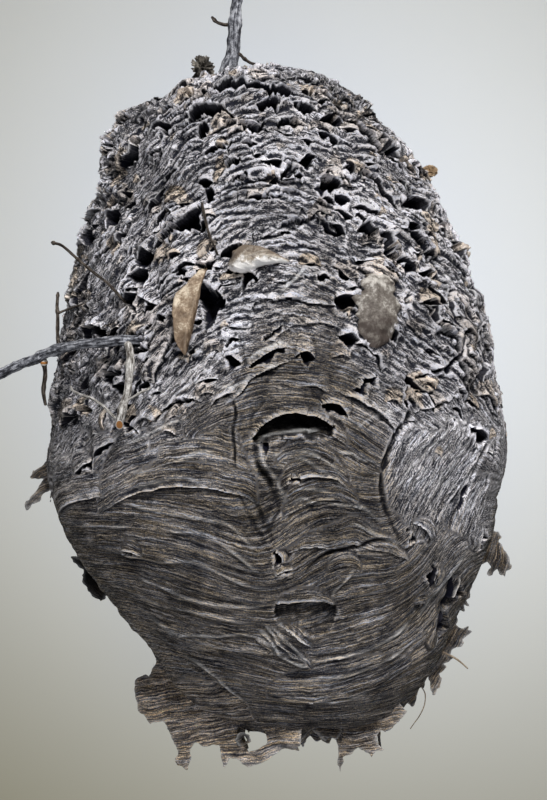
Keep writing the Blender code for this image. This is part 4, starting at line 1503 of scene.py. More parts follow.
SEEN_SHEETS = tuple(SeenSheet(*sheet) for sheet in (
    # lower bands
    (286, 652, 25, 7, 1, -37, 1.8, 0, 0, 2.6), (297, 638, 14, 6, 1, -40, 1.6, 0, 0, 2.6),
    (268, 651, 14, 5, 0, -42, 1.2, 0, 0, 1.5), (307, 603, 22, 9, 1, -2, 1.2, 3.4, 25, -0.6, 0, True),
    (345, 702, 55, 30, -8, 10, 1.4), (245, 654, 40, 22, 2, -6, 1.4),
    # centre column
    (282, 558, 4.5, 7, 2, -60, 0.8, 12, 8, -1), (284, 574, 6, 6, 1, 20, 0.6, 8, 2.5, -1),
    (352, 545, 36, 18, 10, -6, 2.2, 1, 1), (346, 566, 12, 14, 5, 0, 1.6),
    (322, 500, 26, 22, 10, 6, 1.8), (316, 476, 24, 20, 9, 0, 1.8), (308, 456, 22, 14, 8, -4, 1.4),
    (172, 486, 56, 56, 17, 6, 2.4), (176, 462, 48, 36, 15, 8, 1.8), (180, 440, 40, 30, 13, 10, 1.5),
    (291, 411, 25, 24, 13, 7, 4.5, 9, 16, 0.4, 0, True), (338, 402, 11, 12, 6, -18, 4, 11, 9),
    (306, 349, 8, 10, 4, 0, 3, 9, 6), (264, 352, 16, 14, 3, 31, 4, 7, 6, 0.6),
    (259, 376, 22, 10, 2, 33, 3.0, 3, 2, 0.6), (353, 332, 7, 11, 3, -4, 4, 9, 9),
    (364, 380, 12, 10, 2, 35, 3.5, 9, 7), (298, 476, 6, 7, 1, 12, 1.6, 6, 3.5),
    (265, 441, 3, 6, 1, 0, 1.5, 6, 6), (233, 356, 8, 12, 2, -25, 3, 7, 6),
    (207, 377, 8, 12, 2, 12, 2.8, 6, 4), (222, 392, 14, 14, 3, 26, 3, 3, 2), (300, 384, 26, 16, 9, 2, 2),
    (409, 396, 7, 8, 0, -100, 2, 9, 6), (318, 322, 30, 18, 10, 0, 1.6), (330, 432, 14, 12, 5, -16, 1.6),
    # right side
    (425, 391, 12, 8, -2, 4, 2.6, 3, 2, 3, 0.9), (440, 404, 20, 16, -3, 20, 3.5, 3, 2),
    (478, 427, 10, 14, 6, -20, 4.2, 11, 10), (460, 484, 46, 58, 4, 60, 2.4, 0, 0, 0.6),
    (427, 531, 12, 12, 3, -48, 3.4, 14, 13),
    (440, 580, 9, 8, 0, -96, 2.4, 10, 6), (482, 540, 11, 11, 2, 70, 3, 12, 8),
    (458, 600, 15, 10, 0, 66, 2.6, 12, 7), (446, 634, 14, 9, 0, 72, 2.6, 12, 7),
    (427, 606, 5, 8, 1, 0, 1.6, 6, 3), (437, 368, 8, 12, 2, 36, 4, 8, 6),
    (428, 328, 5, 10, 1, 78, 4, 8, 4), (443, 294, 14, 14, 1, 100, 4.5, 10, 5),
    (402, 298, 8, 12, 1, 84, 4.5, 10, 6), (349, 290, 9, 12, 7, -10, 5, 10, 14),
    (325, 270, 6, 10, 3, 0, 4, 8, 8), (454, 252, 8, 12, 3, -64, 4.5, 11, 6),
    (372, 230, 8, 14, 2, -58, 4.5, 12, 7), (389, 240, 13, 16, 3, -48, 5, 14, 9),
    (364, 208, 14, 14, 2, -14, 4, 6, 4), (413, 225, 8, 12, 4, -24, 4, 9, 5),
    (438, 226, 12, 12, 1, -55, 3, 8, 4), (394, 142, 15, 16, 2, -48, 5, 14, 11),
    (369, 160, 8, 11, 1, -6, 4, 11, 6), (418, 202, 11, 14, 3, -42, 5, 13, 12),
    (334, 112, 10, 13, 4, -8, 4.5, 11, 8), (331, 178, 8, 12, 4, -30, 5, 13, 14),
    (307, 152, 9, 11, 3, 28, 4.5, 10, 9), (332, 135, 8, 11, 3, -20, 4.5, 9, 7),
    (308, 101, 9, 10, 2, 0, 4, 10, 7), (472, 300, 6, 12, 2, -80, 4.5, 9, 5),
    (343, 208, 8, 11, 3, -10, 4, 7, 5), (322, 196, 7, 11, 3, -4, 4, 6, 4),
    (405, 262, 8, 12, 3, -38, 4.5, 8, 6), (424, 278, 7, 11, 2, -44, 4.5, 9, 6),
    (462, 330, 7, 12, 2, -70, 4, 9, 5), (483, 372, 7, 12, 2, -76, 4, 9, 5),
    (352, 168, 7, 10, 3, -20, 4, 7, 4), (378, 118, 8, 11, 3, -40, 4, 8, 5),
    (308, 262, 10, 9, 3, 4, 3, 4, 3, -1, 0.9), (390, 330, 8, 10, 3, -60, 4, 8, 5),
    # left side
    (76, 500, 26, 34, 5, 20, 2.0), (86, 324, 11, 14, 8, 22, 5, 12, 13),
    (141, 249, 8, 13, 4, 10, 5, 14, 14), (136, 268, 8, 11, 3, 20, 4.5, 14, 14),
    (127, 294, 7, 10, 3, 30, 4.5, 11, 9),
    (58, 414, 9, 13, 5, 20, 5, 10, 8, -1.5, 0.5), (72, 410, 7, 12, 2, 70, 4, 12, 8),
    (81, 465, 9, 14, 2, 38, 3.5, 9, 6), (128, 553, 7, 10, 1, -14, 2, 5, 4),
    (88, 240, 8, 12, 3, 52, 4.5, 11, 13), (114, 236, 5, 10, 1, 60, 4, 9, 8),
    (104, 214, 8, 11, 2, 52, 4, 9, 5), (116, 192, 9, 13, 3, 44, 4, 9, 5, -1, 0.7),
    (104, 372, 6, 12, 3, 18, 4, 8, 8), (133, 338, 9, 12, 4, 26, 4.5, 10, 8),
    (158, 322, 7, 11, 3, 20, 4, 8, 6), (150, 300, 8, 11, 3, 24, 4, 8, 5),
    (176, 270, 4, 10, 2, 76, 4.5, 10, 12), (193, 279, 9, 12, 3, 4, 5, 10, 6),
    (193, 262, 20, 24, 5, 8, 3.6, 4, 3, 1.5), (211, 288, 10, 12, 5, -6, 6, 16, 27),
    (244, 268, 13, 11, 5, -14, 5, 13, 13), (229, 244, 7, 10, 2, 34, 4.5, 12, 11),
    (182, 216, 11, 14, 4, 36, 5, 14, 13), (178, 206, 9, 16, 2, 24, 3.4, 4, 2, -3, 1.0),
    (204, 192, 6, 10, 2, 70, 5, 13, 10), (203, 174, 6, 10, 3, 10, 5, 13, 9),
    (200, 226, 6, 9, 1, 60, 4, 10, 6), (158, 238, 7, 11, 2, 50, 4, 8, 5),
    (152, 204, 8, 11, 2, 46, 4, 7, 4), (72, 378, 6, 11, 2, 50, 4, 9, 6),
    (66, 420, 7, 12, 2, 45, 4, 9, 5), (118, 402, 8, 12, 3, 30, 4, 7, 4),
    (176, 400, 16, 16, 5, 18, 3, 4, 3), (100, 446, 10, 12, 3, 34, 3, 5, 3),
    (106, 366, 6, 12, 3, 10, 4.5, 12, 15), (137, 343, 9, 11, 4, 20, 4.5, 11, 8),
    (119, 380, 8, 9, 3, 8, 4, 10, 8), (139, 384, 5, 8, 2, 60, 4, 9, 8), (117, 348, 6, 8, 2, 12, 3, 8, 5),
    # crown
    (208, 106, 19, 17, 11, 12, 5, 14, 8), (197, 130, 6, 10, 2, 70, 4, 13, 11),
    (212, 146, 9, 11, 3, 10, 5, 10, 5, 3), (282, 170, 7, 11, 4, 58, 4.5, 12, 9),
    (155, 123, 9, 12, 5, 30, 5, 12, 11), (124, 150, 12, 13, 2, 54, 4.5, 12, 8),
    (159, 98, 6, 11, 3, 30, 4.5, 10, 6), (140, 110, 7, 10, 2, 40, 4, 8, 4),
    (276, 86, 11, 9, 5, 0, 4, 12, 10), (242, 84, 20, 8, 3, 2, 3.5, 10, 7),
    (268, 98, 9, 10, 3, 20, 4, 12, 11), (248, 122, 9, 10, 2, 8, 4, 10, 6),
    (252, 138, 8, 10, 2, 8, 4, 10, 6), (232, 158, 8, 10, 3, 16, 4, 8, 5),
    (240, 178, 7, 10, 3, 14, 4, 8, 4), (262, 150, 6, 10, 2, 0, 4, 7, 4),
    (170, 170, 9, 11, 2, 40, 3, 6, 3), (150, 150, 9, 11, 2, 44, 3, 6, 3),
    (290, 122, 9, 10, 2, 4, 3, 8, 5), (186, 92, 8, 10, 2, 24, 4, 9, 5),
    (350, 92, 8, 10, 2, -24, 3, 9, 5),
))


# Laid first, under all the others: the paper at the right edge and where the flap comes out
EDGE_SHEETS = (
    SeenSheet(486, 512, 24, 42, 2, 62, 1.6, tone=0.4),
    # The sheet where the flap comes out is painted much lighter, as painted light where the body shades
    # it
    SeenSheet(190, 738, 38, 42, 0, 14, 1.4, tone=4.5, tan=0.3),
)


@dataclass(frozen=True)
class Stroke:
    """A ridge or a crease on the front of the nest.

    Attributes:
        line: Pixels that it passes through, as it is seen.
        lift: How far it stands out, in millimetres; under 0 it is sunk.
        width: Half its width in millimetres.
        shine: How strongly the top of its ridge is painted pale as a highlight, from 0 to 1.
    """

    line: tuple
    lift: float = 0.8
    width: float = 1.0
    shine: float = 0.45


STROKES = (
    # torn rims and folds of the centre column
    Stroke(((243, 364), (258, 352), (272, 344), (283, 340), (291, 347)), 1.4, 0.8, 0.9),
    Stroke(((233, 394), (248, 381), (262, 370), (273, 364), (287, 359)), 1.5, 0.8, 0.9),
    Stroke(((257, 437), (275, 433), (300, 430), (326, 427)), 1.0, 0.9, 0.7),
    Stroke(((356, 431), (366, 422), (378, 414), (388, 412), (395, 420)), 0.9, 1.0, 0.3),
    Stroke(((366, 429), (376, 421), (386, 419)), -1.2, 0.8, 0.0),
    Stroke(((338, 452), (353, 454), (363, 460), (386, 461)), 1.0, 0.7, 0.6),
    Stroke(((341, 455), (352, 457), (362, 463), (384, 464)), -1.4, 0.7, 0.0),
    Stroke(((258, 430), (263, 462), (277, 481), (288, 508)), 1.5, 1.5, 0.35),
    Stroke(((253, 432), (257, 464), (270, 484), (281, 512)), -2.4, 1.9, 0.0),
    Stroke(((358, 567), (345, 583), (336, 594), (334, 603)), 0.8, 0.9, 0.25),
    Stroke(((213, 385), (222, 388), (240, 384), (252, 372)), 0.9, 0.9, 0.5),
    Stroke(((281, 293), (295, 278), (312, 260)), 1.6, 1.0, 0.8),
    Stroke(((351, 201), (364, 206), (377, 212)), 1.2, 1.0, 0.7),
    # creases, sunk and painted darker as shade
    Stroke(((230, 394), (235, 412), (232, 430), (234, 448), (235, 470)), -2.0, 0.9, 0.0),
    Stroke(((403, 374), (408, 387), (415, 404), (408, 418), (399, 430), (392, 448), (386, 466),
            (383, 484), (387, 507), (394, 526), (406, 546)), -3.6, 1.7, 0.0),
    Stroke(((120, 495), (150, 483), (183, 480), (214, 495)), -1.2, 0.9, 0.0),
    Stroke(((304, 572), (326, 556), (349, 550), (387, 541), (409, 552)), -1.8, 1.1, 0.0),
    Stroke(((283, 507), (274, 520), (268, 534)), -1.2, 1.3, 0.0),
    Stroke(((244, 484), (256, 506), (267, 530), (277, 550)), -1.3, 2.4, 0.0),
    Stroke(((236, 492), (247, 514), (259, 536), (270, 554)), -0.8, 1.6, 0.0),
    Stroke(((169, 660), (186, 667), (199, 672), (214, 683), (229, 696), (246, 710)), 1.4, 0.8, 0.6),
    Stroke(((172, 668), (186, 673), (198, 679), (212, 690), (226, 702)), -1.8, 1.2, 0.0),
    # cracks of the right side, sunk deep, their insides painted dark as shade
    Stroke(((436, 280), (443, 295), (449, 312), (455, 334), (459, 352), (450, 366), (440, 376)),
           -6.0, 1.3, 0.0),
    Stroke(((466, 284), (471, 300), (475, 315)), -5.0, 1.0, 0.0),
    Stroke(((462, 572), (457, 592), (452, 610), (447, 628), (444, 648)), -7.0, 2.1, 0.0),
    Stroke(((487, 442), (484, 454), (478, 468), (472, 484)), -3.5, 0.9, 0.0),
    Stroke(((498, 424), (497, 444), (493, 466)), -5.0, 1.0, 0.0),
    Stroke(((473, 484), (468, 494), (466, 504), (462, 514)), -5.0, 1.3, 0.0),
    Stroke(((492, 474), (490, 488), (486, 500)), -3.5, 0.8, 0.0),
    Stroke(((436, 566), (441, 580), (437, 594)), -4.6, 1.3, 0.0),
    # crests of the bands, lower left, their tops painted pale as a highlight
    Stroke(((118, 448), (140, 438), (166, 425), (190, 420)), 0.8, 1.0, 0.3),
    Stroke(((133, 476), (153, 468), (176, 460), (203, 451), (219, 455)), 0.8, 1.0, 0.3),
    Stroke(((121, 490), (159, 481), (183, 478), (209, 485)), 0.8, 1.0, 0.25),
    Stroke(((110, 500), (131, 506), (158, 513), (201, 520), (226, 526), (242, 539), (256, 556)),
           1.0, 0.9, 0.28),
    Stroke(((77, 528), (90, 526), (110, 528), (131, 528)), 0.8, 0.9, 0.25),
    Stroke(((162, 528), (176, 533), (199, 534), (219, 544), (242, 561), (264, 578)), 1.1, 0.9, 0.28),
    Stroke(((90, 544), (113, 553), (153, 564), (193, 564), (226, 577), (247, 586), (276, 592)),
           1.0, 0.9, 0.25),
    Stroke(((100, 569), (146, 586), (183, 601), (226, 607), (259, 607), (278, 604)), 0.9, 0.9, 0.25),
    Stroke(((108, 586), (131, 599), (153, 611), (189, 615), (209, 617), (232, 622), (252, 626)),
           0.9, 0.9, 0.25),
    Stroke(((126, 611), (150, 629), (169, 642), (186, 641), (219, 639), (242, 636), (266, 644),
            (289, 661)), 1.1, 0.9, 0.5),
    Stroke(((143, 626), (158, 634), (173, 642)), 1.2, 0.8, 0.8),
    Stroke(((136, 636), (160, 652), (178, 656)), 0.8, 0.9, 0.3),
    Stroke(((255, 628), (268, 638), (281, 658), (298, 668), (314, 672)), 1.3, 0.9, 0.8),
    Stroke(((262, 622), (276, 640), (292, 658), (306, 664)), 1.0, 0.8, 0.5),
    Stroke(((278, 623), (292, 634), (311, 650)), 1.3, 0.9, 0.8),
    Stroke(((268, 624), (284, 642), (300, 657), (313, 668)), 1.0, 0.8, 0.6),
    # arcs of the centre and of the lower right
    Stroke(((267, 456), (284, 453), (307, 451), (327, 461), (346, 477)), 0.8, 0.9, 0.3),
    Stroke(((279, 463), (302, 459), (319, 468), (333, 477), (346, 492)), 0.8, 0.9, 0.3),
    Stroke(((290, 492), (307, 489), (324, 491), (343, 499)), 0.8, 0.9, 0.25),
    Stroke(((288, 508), (302, 499), (322, 503), (346, 506), (364, 508), (377, 518), (398, 534)),
           1.0, 0.9, 0.3),
    Stroke(((350, 522), (364, 528), (383, 539), (400, 544), (408, 551)), 0.8, 0.9, 0.4),
    Stroke(((396, 489), (405, 479), (415, 463), (431, 446), (448, 429)), 0.7, 0.9, 0.3),
    Stroke(((431, 506), (439, 489), (451, 465), (463, 446)), 0.7, 0.9, 0.3),
    Stroke(((422, 627), (439, 601), (457, 575), (474, 541)), 0.8, 0.9, 0.4),
    Stroke(((322, 664), (345, 661), (372, 653), (398, 640), (420, 622)), 1.0, 0.9, 0.6),
    Stroke(((312, 682), (345, 680), (372, 672), (398, 660), (425, 640)), 0.9, 0.9, 0.4),
    Stroke(((300, 706), (330, 708), (352, 704), (380, 694)), 0.8, 0.9, 0.3),
)


@dataclass(frozen=True)
class LightShadeAndTonePatch:
    """A soft patch painted lighter or darker on the front.

    Attributes:
        x: Pixel column of its middle.
        y: Pixel row of its middle.
        reach: How many pixels it reaches.
        tone: Lighter over 0, darker under 0.
    """

    x: float
    y: float
    reach: float
    tone: float


# The light patches low down, round (300, 695) and (195, 665), are painted light where the body shades
# the paper; the dark one at (258, 508) is painted shade; the dark one at (335, 530) is darker paper
LIGHT_SHADE_AND_TONE_PATCHES = tuple(LightShadeAndTonePatch(*patch) for patch in (
    (335, 530, 62, -2.2), (258, 508, 26, -2.4), (300, 400, 60, -2.2), (300, 695, 75, 4.2),
    (195, 665, 55, 3.2), (410, 650, 50, 2.2), (160, 470, 55, 0.8), (290, 648, 22, 1.6),
    (325, 560, 30, -0.8), (445, 450, 50, 0.8), (95, 585, 42, 3.4), (150, 640, 36, 2.0),
    (215, 570, 55, -0.8),
))


@dataclass
class Envelope:
    """The nest's paper: many overlapping lobes, the torn rim and the hollow inside it.

    Attributes:
        seed: Seed of everything that is drawn at random.
        piece_names: The names of the pieces of the outside, from the crown down.
        rows: Rows of large lobes, from the crown down.
        flakes: How many small flakes are tried.
    """

    seed: int = 7
    piece_names: tuple = ("nest_crown", "nest_shoulder", "nest_waist", "nest_hem")
    rows: tuple = (
        Row(1.1, 15, 17, 2, 4, 3, 5), Row(1.7, 16, 19, 4, 4, 4, 5), Row(2.3, 16, 19, 5, 5, 5, 5),
        Row(2.9, 17, 20, 5, 5, 5, 5), Row(3.5, 18, 22, 5, 5, 5, 6), Row(4.2, 18, 23, 5, 5, 5, 6),
        Row(4.9, 20, 26, 6, 5, 6, 7), Row(5.6, 22, 29, 6, 5, 6, 8), Row(6.3, 27, 35, 5, 3, 4, 10),
        Row(7.0, 32, 42, 4, 1, 2, 12), Row(7.9, 42, 48, 3.5, 0, 0, 12), Row(8.9, 52, 52, 3, 0, 0, 10),
        Row(10.0, 64, 54, 2.5, 0, 0, 4), Row(11.0, 64, 54, 2.5, 0, 0, -6),
        Row(12.0, 64, 50, 2.5, 0, 0, -8), Row(12.9, 56, 44, 2.5, 0, 0, -6),
    )
    flakes: int = 2300

    # Below this pixel row, the sheets of the front, down to so far below the axis, are only those
    # seen in the photograph
    FREE_ROW, FREE_BELOW_AXIS = 455, 45
    # Edges of the paper that bend more than this many degrees are sharp
    CRISP, TORN_CRISP = 85, 55
    # How far round a leaf's points the paper is pressed down, and how far below them it stays
    LEAF_REACH, LEAF_GAP = 3.2, 1.4
    # How strongly the sizes of large lobes, and the sizes and depths of flakes, are changed
    LOBE_SIZES = (0.55, 0.75, 1.0, 1.3, 1.6)
    FLAKE_SIZES = (0.40, 1.35)
    FLAKE_DEPTHS = (0.3, 0.6, 1.0, 1.8)
    # How high the lumps inside the torn mouth are, and how long the bands run round it
    MOUTH_LUMPS, MOUTH_GIRTH = 3.0, 400.0
    # The fringe that hangs from the torn rim
    RIM_RADIUS = 60
    FRINGE_ROWS = 16
    FRINGE_LONGEST = 20.0
    FRINGE_MEAN = 6.0
    FRINGE_THICKNESS = 0.5
    # How its length changes along the rim: size of the waves, strength and layer of the noise
    FRINGE_WAVES = ((26, 9.0, 0), (8, 3.5, 5), (2.5, 2.2, 9))
    # How much shorter it is in the bay at the rim's back
    FRINGE_BAY = 30

    def __post_init__(self) -> None:
        """Lay out the bare skin."""
        self.skin = PaperSkin(self.seed)

    def build(self) -> list:
        """Lay every lobe and make the paper's pieces.

        Returns:
            The pieces, from the crown to the hem, then the mouth and the fringe.
        """
        self.skin.follow(Flow())
        rng = random.Random(self.seed)
        for row in reversed(self.rows):
            self._lay_row(row, rng)
        for sheet in EDGE_SHEETS:
            self.skin.lay_seen(sheet.lobe(random.Random(self.seed)), sheet.x, sheet.y)
        for sheet in sorted(SEEN_SHEETS, key=lambda sheet: -sheet.y):
            self.skin.lay_seen(sheet.lobe(rng), sheet.x, sheet.y)
        self._lay_flakes(rng)
        for stroke in STROKES:
            self.skin.draw(stroke)
        for patch in LIGHT_SHADE_AND_TONE_PATCHES:
            self.skin.paint_light_shade_and_tone(patch)
        self.skin.crumple()
        for leaf in LEAVES:
            self.skin.press(leaf.underside(), self.LEAF_REACH, self.LEAF_GAP)
        return self._pieces()

    def _lay_row(self, row: Row, rng: random.Random) -> None:
        """Lay one row of lobes where the photograph shows none of its own.

        Args:
            row: The row.
            rng: Where the lobes' places and sizes are drawn from.
        """
        ring = Skin.at(np.full(60, float(row.level)), np.linspace(0, math.tau, 60))
        girth = np.linalg.norm(np.diff(ring, axis=0), axis=1).sum()
        count = max(4, round(girth / (1.5 * row.half_width)))
        start = rng.uniform(0, 1)
        for i in range(count):
            angle = (i + start + rng.uniform(-0.4, 0.4)) * math.tau / count
            size = rng.choice(self.LOBE_SIZES) * rng.uniform(0.9, 1.1)
            level = min(LEVELS - 0.02, row.level + rng.uniform(-0.3, 0.3))
            lobe = Lobe(row.half_width * size, row.height * size,
                        row.arch * size * rng.uniform(0, 1.5),
                        self._lean(level, angle) + rng.uniform(-0.4, 0.4),
                        row.rise * rng.uniform(0.4, 1.2), row.mouth * rng.uniform(0.0, 1.7),
                        row.gape * rng.uniform(0.0, 1.5),
                        tone=rng.uniform(-1, 1), seed=rng.random(), ragged=1.0 if row.mouth else 0.25,
                        tan=rng.choice((0.0, 0.0, 0.3, 0.6)))
            if not self._is_seen(level, angle):
                self.skin.lay_round(lobe, level, angle)

    @staticmethod
    def _seen_at(level: float, angle: float) -> tuple:
        """Where a place of the smooth body is seen.

        Args:
            level: The place's level.
            angle: The place's angle.

        Returns:
            Its pixel column, its pixel row and its height in millimetres.
        """
        place = Skin.at(np.array([level]), np.array([angle]))
        x, y = View.pixels(place)
        return float(x[0]), float(y[0]), float(place[0, 2])

    def _lean(self, level: float, angle: float) -> float:
        """How far a lobe is turned, to follow the arches of the upper front.

        Args:
            level: The level of its free edge's middle.
            angle: The angle of its free edge's middle.

        Returns:
            A turn anticlockwise in radians.
        """
        x, y, height = self._seen_at(level, angle)
        facing = float(smoothstep((height - AXIS_HEIGHT) / 60))
        return facing * float(smoothstep((Flow.TOP - y) / 100)) * Flow.lean(x)

    def _is_seen(self, level: float, angle: float) -> bool:
        """Whether a place lies where the photograph's own sheets or lines are laid.

        Args:
            level: The place's level.
            angle: The place's angle.

        Returns:
            True where no lobe of a row is laid.
        """
        x, y, height = self._seen_at(level, angle)
        if height < AXIS_HEIGHT - (self.FREE_BELOW_AXIS if y > self.FREE_ROW else 0):
            return False
        if y > self.FREE_ROW:
            return True
        for sheet in SEEN_SHEETS:
            right, up = (x - sheet.x) * View.FRONT_MM_A_PIXEL, (sheet.y - y) * View.FRONT_MM_A_PIXEL
            turn = math.radians(sheet.roll)
            across = right * math.cos(turn) + up * math.sin(turn)
            above = up * math.cos(turn) - right * math.sin(turn)
            if abs(across) < sheet.half_width + 3 and -sheet.gape - 4 < above < 0.8 * sheet.height:
                return True
        return False

    def _lay_flakes(self, rng: random.Random) -> None:
        """Roughen the older, upper paper with small torn flakes.

        Args:
            rng: Where the flakes' places and sizes are drawn from.
        """
        skin = self.skin
        for _ in range(self.flakes):
            i = rng.randrange(len(skin.points))
            if rng.random() < skin.calm[i] * 1.05 or skin.hollow[i] > 0.2:
                continue
            size = rng.uniform(*self.FLAKE_SIZES)
            deep = rng.choice(self.FLAKE_DEPTHS)
            lobe = Lobe(7 * size, 8 * size, rng.uniform(0, 4) * size,
                        self._lean(skin.level[i], skin.angle[i]) + rng.gauss(0, 0.45),
                        rng.uniform(0.6, 2.0) * size, rng.uniform(2.0, 6.0) * size * deep,
                        rng.uniform(1.2, 3.6) * size * min(deep, 1.3), tone=rng.uniform(-1.5, 1.5),
                        seed=rng.random(), tan=rng.choice((0.0, 0.0, 0.0, 0.4, 0.8)))
            skin.lay_round(lobe, skin.level[i], skin.angle[i], flake=True)

    def _pieces(self) -> list:
        """Part the outside into its pieces, and add the mouth and the fringe.

        Returns:
            The pieces, from the crown to the hem, then the mouth and the fringe.
        """
        skin = self.skin
        surface = skin.surface()
        bounds = np.linspace(0, skin.RINGS - 1, len(self.piece_names) + 1).astype(int)
        pieces = []
        for name, first, last in zip(self.piece_names, bounds[:-1], bounds[1:]):
            part = slice(first * skin.SEGMENTS, (last + 1) * skin.SEGMENTS)
            points, faces = surface[part], grid_quads(last + 1 - first, skin.SEGMENTS).tolist()
            kept = {key: getattr(skin, key)[part] for key in skin.FIELDS}
            if first == 0:
                faces += [(len(points), k, (k + 1) % skin.SEGMENTS) for k in range(skin.SEGMENTS)]
                points = np.concatenate([points, points[:skin.SEGMENTS].mean(axis=0)[None]])
                kept = {key: np.append(values, values[0]) for key, values in kept.items()}
            pieces.append(mesh_object(name, points, faces, kept, self.CRISP))
        rim = surface[-skin.SEGMENTS:]
        return [*pieces, self._mouth(rim), self._fringe(rim)]

    def _mouth(self, rim: Points) -> bpy.types.Object:
        """The hollow inside the torn rim.

        Args:
            rim: The points of the rim.

        Returns:
            The hollow's skin.
        """
        noise = self.skin.noise
        centre = rim.mean(axis=0)
        rings = []
        for share, rise in MOUTH_RINGS:
            ring = centre + (rim - centre) * share
            flatten = min(1.0, max(0.0, rise) / MOUTH_DEPTH * 1.5)
            ring[:, 1] = rim[:, 1] * (1 - flatten) + centre[1] * flatten + rise
            lumps = np.stack([noise.over(ring + 50 * k, 22, 3) for k in range(3)], axis=-1)
            ring += min(1.0, max(0.0, rise) / 8) * lumps * self.MOUTH_LUMPS
            rings.append(ring)
        points, columns = np.concatenate(rings), len(rim)
        rise = np.repeat([rise for _, rise in MOUTH_RINGS], columns)
        turn = np.tile(np.arange(columns) / columns * self.MOUTH_GIRTH, len(rings))
        # Deeper into the mouth the paper is painted darker, as shade
        kept = paper_fields(rise * 1.5 + 4 * noise.over(points, 40), along=turn, lobe=0.4,
                            hollow=np.clip(rise / 30, 0, 0.75), tone=-0.4)
        quads = grid_quads(len(rings), columns).tolist()
        return mesh_object("nest_mouth", settled(points), quads, kept, self.TORN_CRISP)

    def _fringe(self, rim: Points) -> bpy.types.Object:
        """The ragged tongues of paper that hang on from the torn rim.

        Args:
            rim: The points of the rim.

        Returns:
            The fringe.
        """
        columns = len(rim)
        noise = self.skin.noise
        reach = np.linspace(-1, self.FRINGE_LONGEST, self.FRINGE_ROWS)
        place, down = np.meshgrid(np.arange(columns + 1), reach, indexing="ij")
        turn = place / columns * math.tau
        around = np.cos(turn) * self.RIM_RADIUS, np.sin(turn) * self.RIM_RADIUS
        length = self.FRINGE_MEAN + 0 * down
        for size, strength, layer in self.FRINGE_WAVES:
            length += strength * noise.at(around[0] / size, around[1] / size, 0 * down + layer)
        length -= self.FRINGE_BAY * notch(np.interp(place, np.arange(columns), self.skin.angles))
        points, faces = cut_grid(length - down, place, down)
        turn, down = points.T
        closed = np.concatenate([rim, rim[:1]])
        base = np.stack([np.interp(turn, np.arange(columns + 1), line) for line in closed.T], axis=1)
        out = unit((base - rim.mean(axis=0)) * (1, 0, 1))
        bend = noise.at(base[:, 0] / 30, 0 * down + 3, base[:, 2] / 30)
        base[:, 1] -= down
        base += out * (0.12 * down * bend + 0.02 * down**2 * bend - 0.15 * down)[:, None]
        base += 0.9 * noise.over(base, 9, 2)[:, None] * out
        kept = paper_fields(down * 1.3 + 5 * noise.over(base, 40), along=turn, lobe=0.7, tone=1.0)
        fringe = mesh_object("nest_fringe", settled(base), faces, kept, self.TORN_CRISP)
        return thickened(fringe, self.FRINGE_THICKNESS)


# ---------------------------------------------------------------- torn sheets

@dataclass
class TornSheet:
    """A torn sheet that hangs past the nest's edge.

    Attributes:
        name: The piece's name.
        height: The sheet's height at X = 0.
        slope: How much the height grows with X.
        outline: Its outline in pixels, as it is seen.
        holes: Outlines of the holes torn in it.
        run: Direction of its bands in degrees.
        curl: How far its free edge bends down, in millimetres.
        tone: Lighter over 0, darker under 0.
        tan: How brown it is, from 0 to 1.
    """

    name: str
    height: float
    slope: float
    outline: tuple
    holes: tuple = ()
    run: float = 0.0
    curl: float = 3.0
    tone: float = 0.0
    tan: float = 0.45

    GRID = 0.9
    RAGGED = 1.1
    # Waves of the torn edge: size in millimetres, share of RAGGED and layer of the noise
    EDGE_WAVES = ((5, 1.0, 0), (1.9, 0.6, 3))
    CURLED = 14
    THICKNESS = 0.6
    CRISP = 60

    def build(self, noise: Crumple) -> bpy.types.Object:
        """Cut the sheet out along its ragged outline and bend it.

        Args:
            noise: The noise of its edge and waves.

        Returns:
            The sheet.
        """
        middle = View.flat([np.mean(self.outline, axis=0)], AXIS_HEIGHT)[0]
        level = self.height + self.slope * middle[0]
        edge = View.flat(self.outline, level)
        low, high = edge.min(axis=0) - 3, edge.max(axis=0) + 3
        x, y = np.meshgrid(np.arange(low[0], high[0], self.GRID), np.arange(low[1], high[1], self.GRID),
                           indexing="ij")
        flat = np.stack([x.ravel(), y.ravel()], axis=1)
        inside = inside_outline(flat, edge)
        for hole in self.holes:
            inside = np.minimum(inside, -inside_outline(flat, View.flat(hole, level)))
        still = 0 * flat[:, 0]
        for size, share, layer in self.EDGE_WAVES:
            torn = noise.at(flat[:, 0] / size, flat[:, 1] / size, still + layer)
            inside += share * self.RAGGED * torn
        places, faces = cut_grid(inside.reshape(x.shape), x, y)
        x, y = places.T
        depth = np.maximum(inside_outline(places, edge), 0)
        still = 0 * x
        turn = math.radians(self.run)
        across = y * math.cos(turn) - x * math.sin(turn)
        band = across + 3.0 * noise.at(x / 34, y / 34, still + 2) + 1.2 * noise.at(x / 11, y / 11, still)
        z = self.height + self.slope * x + 2.4 * noise.at(x / 19, y / 19, still + 8)
        z += 1.0 * noise.at(band / 4.5, x / 40, still + 5) + 0.35 * noise.at(band / 2, x / 20, still)
        curled = 1 - smoothstep(depth / self.CURLED)
        z -= self.curl * curled * (0.5 + noise.at(x / 12, y / 12, still + 20))
        shade = self.tone * (1 + 0.35 * noise.at(x / 26, y / 26, still + 40))
        # The torn edge is painted pale as a highlight
        kept = paper_fields(band, along=x * math.cos(turn) + y * math.sin(turn), lobe=0.2,
                            rim=0.5 * np.exp(-depth / 0.9), tone=shade, tan=self.tan)
        sheet = mesh_object(self.name, np.stack([x, y, z], axis=1), faces, kept, self.CRISP)
        return thickened(sheet, self.THICKNESS)


